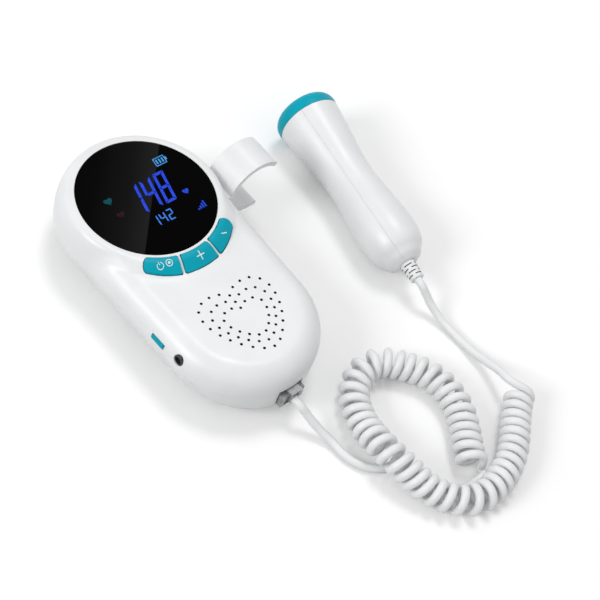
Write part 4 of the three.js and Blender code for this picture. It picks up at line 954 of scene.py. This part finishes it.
KEY_PROUD, KEY_MIDDLE = 0.5, 35.2   # height over the pod, and radius of the stem's place
for key, spec in BUTTONS.items():
    cap = shape(prism(button_outline(*spec), 27.4, 36), ("INTERSECT", pod_form(KEY_PROUD)))
    middle = radians((spec[0] + spec[1]) / 2)
    x, y = KEY_MIDDLE * sin(middle), Y_DISPLAY - KEY_MIDDLE * cos(middle)
    flange = prism(button_outline(*spec, grow=0.8), 26.9, FLANGE_TOP)
    cap = add(cap, flange, post(1.8, x, y, 25.9, FLANGE_TOP, 24))
    piece(cap, f"key_{key}", TEAL, [f"button_{key}"], f"{key}_key")


def mark(outlines, name, material, body, height, thick=0.05):
    """Flat marks that lie on a surface and reach a little into it."""
    sunk = -0.02
    rings = [[[(x, y, height(x, y) + lift) for x, y in ring] for lift in (sunk, thick)]
             for ring in outlines]
    return piece(lofts(rings), name, material, (), body)


def lens_mark(outlines, name, material):
    return mark(outlines, name, material, "unit", lambda x, y: POD_TOP)


def bar(x0, y0, x1, y1, width):
    """A thin straight stroke as a closed outline."""
    a, b = np.array((x0, y0)), np.array((x1, y1))
    u = unit(b - a)
    n = np.array((-u[1], u[0])) * width / 2
    return [tuple(p) for p in (a - n, b - n, b + n, a + n)]


def arc_strokes(cx, cy, radius, width, start, stop, parts):
    """An arc as a row of four-sided outlines."""
    near, far = radius - width / 2, radius + width / 2
    edges = np.radians(np.linspace(start, stop, parts + 1))
    return [arc([a], near, cx, cy) + arc([a, b], far, cx, cy) + arc([b], near, cx, cy)
            for a, b in zip(edges[:-1], edges[1:])]


SEGMENTS = {"1": "bc", "2": "abged", "4": "fgbc", "8": "abcdefg"}


def digit(char, x, y, wide, tall, stroke, slant):
    """Seven-segment figure with its lower left corner at x, y, leaning by slant."""
    s, h, gap = stroke, tall / 2, stroke * 0.12
    near, high = s + gap, h + s / 2
    top = [(gap, tall), (wide - gap, tall), (wide - near, tall - s), (near, tall - s)]
    left = [(0, tall - gap), (s, tall - near), (s, high + gap), (s / 2, h + gap), (0, h + gap)]
    middle = [(s / 2 + gap, h), (near, high), (wide - near, high)]

    def low(form):
        return [(u, tall - v) for u, v in form]

    def right(form):
        return [(wide - u, v) for u, v in form]

    forms = {"a": top, "b": right(left), "c": right(low(left)), "d": low(top), "e": low(left),
             "f": left, "g": middle + right(low(middle))}
    out = []
    for name in SEGMENTS[char]:
        ring = [(x + u + v * slant, y + v) for u, v in forms[name]]
        area = sum(p[0] * q[1] - q[0] * p[1] for p, q in zip(ring, ring[1:] + ring[:1]))
        out.append(ring if area > 0 else ring[::-1])
    return out


def heart(cx, cy, size):
    ring = []
    for t in np.linspace(0, 2 * pi, 33)[:-1]:
        rise = 0.8125 * cos(t) - 0.3125 * cos(2 * t)
        rise += -0.125 * cos(3 * t) - 0.0625 * cos(4 * t)
        ring.append((cx + size * sin(t)**3, cy + size * rise))
    return ring[::-1]


def display_marks():
    """Figures and symbols. Widths and steps are in millimetres on the lens."""
    y0 = Y_DISPLAY
    big, small = [], []
    for k, char in enumerate("148"):
        big += digit(char, -9.2 + 7.15 * k, y0 - 7.2, 5.4, 15.3, 1.35, 0.26)
    for k, char in enumerate("142"):
        small += digit(char, -6.1 + 3.75 * k, y0 - 14.9, 2.7, 5.3, 0.55, 0.14)
    lens_mark(big, "figures_large", BLUE)
    lens_mark(small, "figures_small", PALE_BLUE)
    x, y, wide, tall, line, lean = 13.9, y0 + 10.6, 5.2, 3.8, 0.4, 0.12
    cell = [bar(x, y, x + wide, y, line), bar(x + wide, y - 0.2, x + wide, y + 4, line),
            bar(x + wide, y + tall, x, y + tall, line), bar(x, y + 4, x, y - 0.2, line),
            bar(x + 5.4, y + 1.9, x + 6.1, y + 1.9, 1.6)]
    for k in range(3):
        level = x + 1.1 + 1.45 * k
        cell.append(bar(level, y + 0.75, level, y + 3.05, 0.75))
    cell = [[(p + (q - y) * lean, q) for p, q in ring] for ring in cell]
    lens_mark(cell, "symbol_battery", CYAN)
    x, y, step = 15, y0 - 16.6, 1.25
    bars = [bar(x + step * k, y, x + 0.25 + step * k, y + 0.7 + 0.85 * k, 0.75) for k in range(4)]
    lens_mark(bars, "symbol_signal", BLUE)
    lens_mark([heart(16.2, y0 - 5.9, 1.5)], "symbol_pulse", BLUE)
    lens_mark([heart(-15.4, y0 + 6.0, 2.0)], "lamp_teal", DIM_TEAL)
    lens_mark([heart(-14.9, y0 - 2.1, 1.8)], "lamp_red", DIM_RED)


display_marks()


def on_key(x, y):
    """Height of a key's face, which follows the pod's skirt."""
    r = hypot(x, y - Y_DISPLAY) - KEY_PROUD
    return pod_profile(1, min(1, max(0, (r - RIM) / SKIRT)))[1] + KEY_PROUD


def key_print(outlines, key):
    """Print on a key. The outlines are given from the display's centre."""
    outlines = [[(x, y + Y_DISPLAY) for x, y in ring] for ring in outlines]
    mark(outlines, f"print_{key}", INK, f"{key}_key", on_key, 0.08)


LINE, RING = 0.27, 1.35
power = arc_strokes(-16.9, -30.8, RING, LINE, -240, 60, 16)
power += [bar(-16.9, -30.4, -16.9, -29.1, LINE)]
power += arc_strokes(-13, -31.5, RING, LINE, 0, 360, 18)
power += arc_strokes(-13, -31.5, 0.3, 0.5, 0, 360, 8)
key_print(power, "power")
key_print([bar(-1.1, -34.9, 2.7, -34.9, 0.4), bar(0.8, -36.8, 0.8, -35.1, 0.4),
           bar(0.8, -34.7, 0.8, -33, 0.4)], "plus")
key_print([bar(15.1, -31.0, 17.9, -31.4, 0.42)], "minus")


# ---- ports, plug and holder

def along_x(ring, x0, x1):
    """A closed solid between two places along X, from an outline of (y, z) points."""
    return loft([[(x, y, z) for y, z in ring] for x in (x0, x1)])


def port_cover():
    """A bar with rounded corners, and the knuckle of its hinge."""
    x, radius, y0, y1, z0, z1 = -side_x(PORT_Y), 0.8, -26.8, -19.8, 21.1, 23.1
    ring = []
    for cy, cz, start in ((y1 - radius, z1 - radius, 0), (y0 + radius, z1 - radius, 90),
                          (y0 + radius, z0 + radius, 180), (y1 - radius, z0 + radius, 270)):
        ring += arc(np.radians(np.linspace(start, start + 90, 8)), radius, cy, cz)
    knuckle = block(x - 0.15, x + 1.2, -20.6, y1, 21.5, 22.7)
    return add(along_x(ring, x - 0.15, x + 1.2), knuckle)


def jack_solid():
    """A nose with a chamfered rim, its body behind the wall, and the plug's bore."""
    wall = -side_x(JACK_Y)
    front, nose, shoulder = wall + WALL / 3 - 0.2, 2.3, wall + WALL + FIT + 1.2
    made = revolve([(0, front), (nose - 0.15, front), (nose, front + 0.15),
                    (nose, front + 4.5), (0, front + 4.5)], 48)
    made = turned(made, "Y", pi / 2, (0, JACK_Y, JACK_Z))
    made = add(made, block(shoulder + 0.3, shoulder + 11.5, -38.5, -32.1, 20.8, 25.8))
    return cut(made, pin(1.8, front - 2, front + 11, JACK_Y, JACK_Z))


piece(port_cover(), "cover_port", RUBBER, ["port_cover"], "port_flap")
piece(jack_solid(), "jack_headphone", BLACK, ["headphone_jack"])


def holder_solid():
    """An open ring with round lips, its root on the housing, and two pins into the wall."""
    start, stop, middle, half = radians(50), radians(282), 13.15, 1.15
    lip = np.linspace(0, pi, 10)[1:-1]
    ring = [(middle + half, a) for a in np.linspace(start, stop, 72)]
    ring += [(middle + half * cos(k), stop + half * sin(k) / middle) for k in lip]
    ring += [(middle - half, a) for a in np.linspace(stop, start, 72)]
    ring += [(middle + half * cos(k), start - half * sin(k) / middle) for k in lip[::-1]]
    flat = [(HOLDER_X + r * cos(a), HOLDER_Z + r * sin(a)) for r, a in ring]
    band = loft([[(x, y, z) for x, z in flat] for y in (HOLDER_Y1, HOLDER_Y0)])
    wall_x = side_x(HOLDER_Y0)
    root = cut(block(wall_x - 2, wall_x + 3.6, HOLDER_Y0, HOLDER_Y1, 16.5, 26),
               rod(middle - half, HOLDER_X, HOLDER_Z, 10, 40))
    house = add(stack(low_rings(-0.1) + up_rings(-0.1)), pod_form(0.1))
    pins = [pin(2, side_x(y) - 3.6, side_x(y) + 2, y, HOLDER_PIN_Z, 28) for y in HOLDER_PINS]
    return add(cut(add(band, root), house), *pins)


piece(holder_solid(), "holder_probe", WHITE, ["probe_holder"], angle=40)


def plug_solid():
    """The plug's body with a recess behind, the cord's collar, and the latch."""
    back, tip = -END - 1.9, -END + 10
    made = cut(block(-4.8, 6.8, back, tip, 9.2, 15.8),
               block(-3.2, 5.2, back - 1, back + 0.6, 9.9, 15.1))
    made = add(made, rod(2.4, PLUG_X, PLUG_Z, back - 1.2, back + 1.2, 32))
    profile = [(tip, 15.1), (tip, 16.15), (-END, 17.5), (back - 1.3, 18.2), (back - 1.3, 17.5),
               (-END, 16.8), (tip - 1.9, 15.1)]
    return add(made, along_x(profile, 3.9, -1.9))


plug = piece(plug_solid(), "plug_modular", PLUG, ["cord_plug"], angle=30)


# ---- probe

# Place along the handle and radius there, as shares of its length and of the head's radius
SHARES = [
    (0, 0.986), (0.071, 0.946), (0.143, 0.899), (0.214, 0.845), (0.286, 0.797), (0.381, 0.757),
    (0.476, 0.757), (0.595, 0.818), (0.69, 0.865), (0.786, 0.899), (0.857, 0.878), (0.917, 0.791),
    (0.952, 0.642), (0.976, 0.541), (1, 0.338),
]


def probe_outline(inset, start, stop):
    """Profile of the probe's handle through its table, without kinks."""
    line = smooth_line([(r * PROBE_HEAD, s * PROBE_LENGTH, 0) for s, r in SHARES], 150)
    first, last = (float(np.interp(z, line[:, 1], line[:, 0])) - inset for z in (start, stop))
    middle = [(float(r) - inset, float(z)) for r, z, _ in line if start + 0.2 < z < stop - 0.2]
    return [(0, start), (first, start), *middle, (last, stop), (0, stop)]


def probe_half(side):
    """One half of the hollow handle, cut along its seam."""
    inner = PROBE_LENGTH - 3.7
    made = add(revolve(probe_outline(0, 0, PROBE_LENGTH)), post(12, 0, 0, -4, 2, 64))
    made = cut(made, revolve(probe_outline(WALL, WALL, inner), 48), post(10, 0, 0, -6, 4, 48),
               post(3.85, 0, 0, inner - 2, PROBE_LENGTH + 2, 32))
    gap = 0.015
    half = block(gap if side > 0 else -30, 30 if side > 0 else -gap, -30, 30, -90, 170)
    return shape(made, ("INTERSECT", half))


for side, name in ((-1, "left"), (1, "right")):
    piece(probe_half(side), f"handle_{name}", WHITE, [f"probe_shell_{name}"],
          place=PROBE)

# Radius and place of the cap's crown, as shares
CAP = [(1, 0), (1, 0.3), (0.94, 0.709), (0.81, 0.878), (0.56, 0.973), (0.31, 1)]
CAP_LENGTH = 8
crown = smooth_line([(PROBE_HEAD * r, -CAP_LENGTH * p, 0) for p, r in CAP], 40)
face = [(0, -CAP_LENGTH)] + [(float(r), float(z)) for r, z in crown[:, :2] if r > 0.3]
rear = PROBE_HEAD * SHARES[0][1]
cap = revolve(face + [(rear, -0.12), (12.3, -0.12), (12.3, -4.3), (10, -4.3), (10, -5.8),
                      (0, -5.8)], 96)
piece(cap, "cap_probe", TEAL, ["probe_cap"], place=PROBE)


RELIEF_R, RELIEF_END_R, RELIEF_SLOT = 3.7, 3.02, 0.5
RELIEF_STEP = RELIEF / (RELIEF_ROWS + 1)


def relief_solid():
    """The tapered sleeve with rows of slots, each row turned against the one before."""
    inner, end, flange, floor, reach = PROBE_LENGTH - 4, PROBE_LENGTH + RELIEF, 5, 2.6, 0.55
    made = revolve([(0, inner - 2), (flange, inner - 2), (flange, inner), (RELIEF_R, inner),
                    (RELIEF_R, PROBE_LENGTH), (RELIEF_END_R, end - 0.25), (2.8, end),
                    (0, end)], 40)
    slots = []
    for k in range(RELIEF_ROWS):
        z = PROBE_LENGTH + RELIEF_STEP * (k + 1) - RELIEF_SLOT / 2
        for turn in range(4):
            middle = pi / 2 * turn + pi / 4 * (k % 2)
            angles = np.linspace(middle - reach, middle + reach, 9)
            ring = arc(angles, flange) + arc(angles[::-1], floor)
            slots.append(prism(ring, z, z + RELIEF_SLOT))
    return cut(made, *slots)


def in_slots(centre, _):
    """The walls and floors of the sleeve's slots, which wear painted shade."""
    radius, along = np.linalg.norm(centre[:, :2], axis=1), centre[:, 2] - PROBE_LENGTH
    row = np.round(along / RELIEF_STEP)
    near = np.abs(along - row * RELIEF_STEP) < RELIEF_SLOT / 2 + 0.01
    outside = RELIEF_R - (RELIEF_R - RELIEF_END_R) * along / RELIEF
    return (radius < outside - 0.1) & near & (row >= 1) & (row <= RELIEF_ROWS)


sleeve = piece(relief_solid(), "relief_probe", SOFT_WHITE,
               ["probe_strain_relief"], place=PROBE)
shade_faces(sleeve, SLOT_PAINTED_SHADE, in_slots, PROBE)


# ---- floor and light

def shown_to_eye(tree, low, high):
    """low for the light that falls on things, high where the eye or a gloss looks at it."""
    total = result(tree, "LightPath", "Is Camera Ray")
    for other in ("Is Glossy Ray", "Is Transmission Ray"):
        m = tree.nodes.new("ShaderNodeMath")
        m.operation = "MAXIMUM"
        tree.links.new(total, m.inputs[0])
        tree.links.new(result(tree, "LightPath", other), m.inputs[1])
        total = m.outputs[0]
    return remap(tree, total, To_Min=low, To_Max=high)


# Share of its light that the floor throws on the object, its glow for the eye, and the world's
# strength for the object
BOUNCE, GLOW, AMBIENT = 0.65, 0.1, 0.56
FLOOR_HALF = 4
LAMP_AIM = (0.03, -0.03, 0)


def make_floor():
    s = FLOOR_HALF
    floor = solid([(-s, -s, 0), (s, -s, 0), (s, s, 0), (-s, s, 0)], [(0, 1, 2, 3)], "floor")
    material, tree, shader = nodes_of("floor_paper")
    paper = ramp(tree, noise(tree, 30, 3), [(0.3, (0.93, 0.93, 0.93)), (0.7, (0.96, 0.96, 0.96))])
    bounce = tree.nodes.new("ShaderNodeVectorMath")
    bounce.operation = "SCALE"
    put(bounce, Vector=paper, Scale=shown_to_eye(tree, BOUNCE, 1.0))
    put(shader, Base_Color=bounce.outputs["Vector"])
    gloss(tree, shader, noise(tree, 200, 3), 0.8, 0.95)
    put(shader, Specular_IOR_Level=0.0, Emission_Color=(1, 1, 1, 1),
        Emission_Strength=shown_to_eye(tree, 0.0, GLOW))
    floor.data.materials.append(material)


def make_light():
    world = bpy.data.worlds.new("studio")
    bpy.context.scene.world = world
    world.use_nodes = True
    tree = world.node_tree
    put(tree.nodes["Background"], Color=(1, 1, 1, 1),
        Strength=shown_to_eye(tree, AMBIENT, 1.0))

    def lamp(name, place, size, power):
        data = bpy.data.lights.new(name, "AREA")
        data.shape = "DISK"
        data.size = size
        data.energy = power
        made = into_scene(name, data)
        made.location = place
        way = Vector(LAMP_AIM) - Vector(place)
        made.rotation_mode = "QUATERNION"
        made.rotation_quaternion = way.to_track_quat("-Z", "Y")

    lamp("key", (0.82, 0.63, 2.82), 1.0, 22)
    lamp("fill", (-2.4, 0.5, 1.7), 1.1, 32)


make_floor()
make_light()
bpy.context.scene.view_settings.view_transform = "Standard"
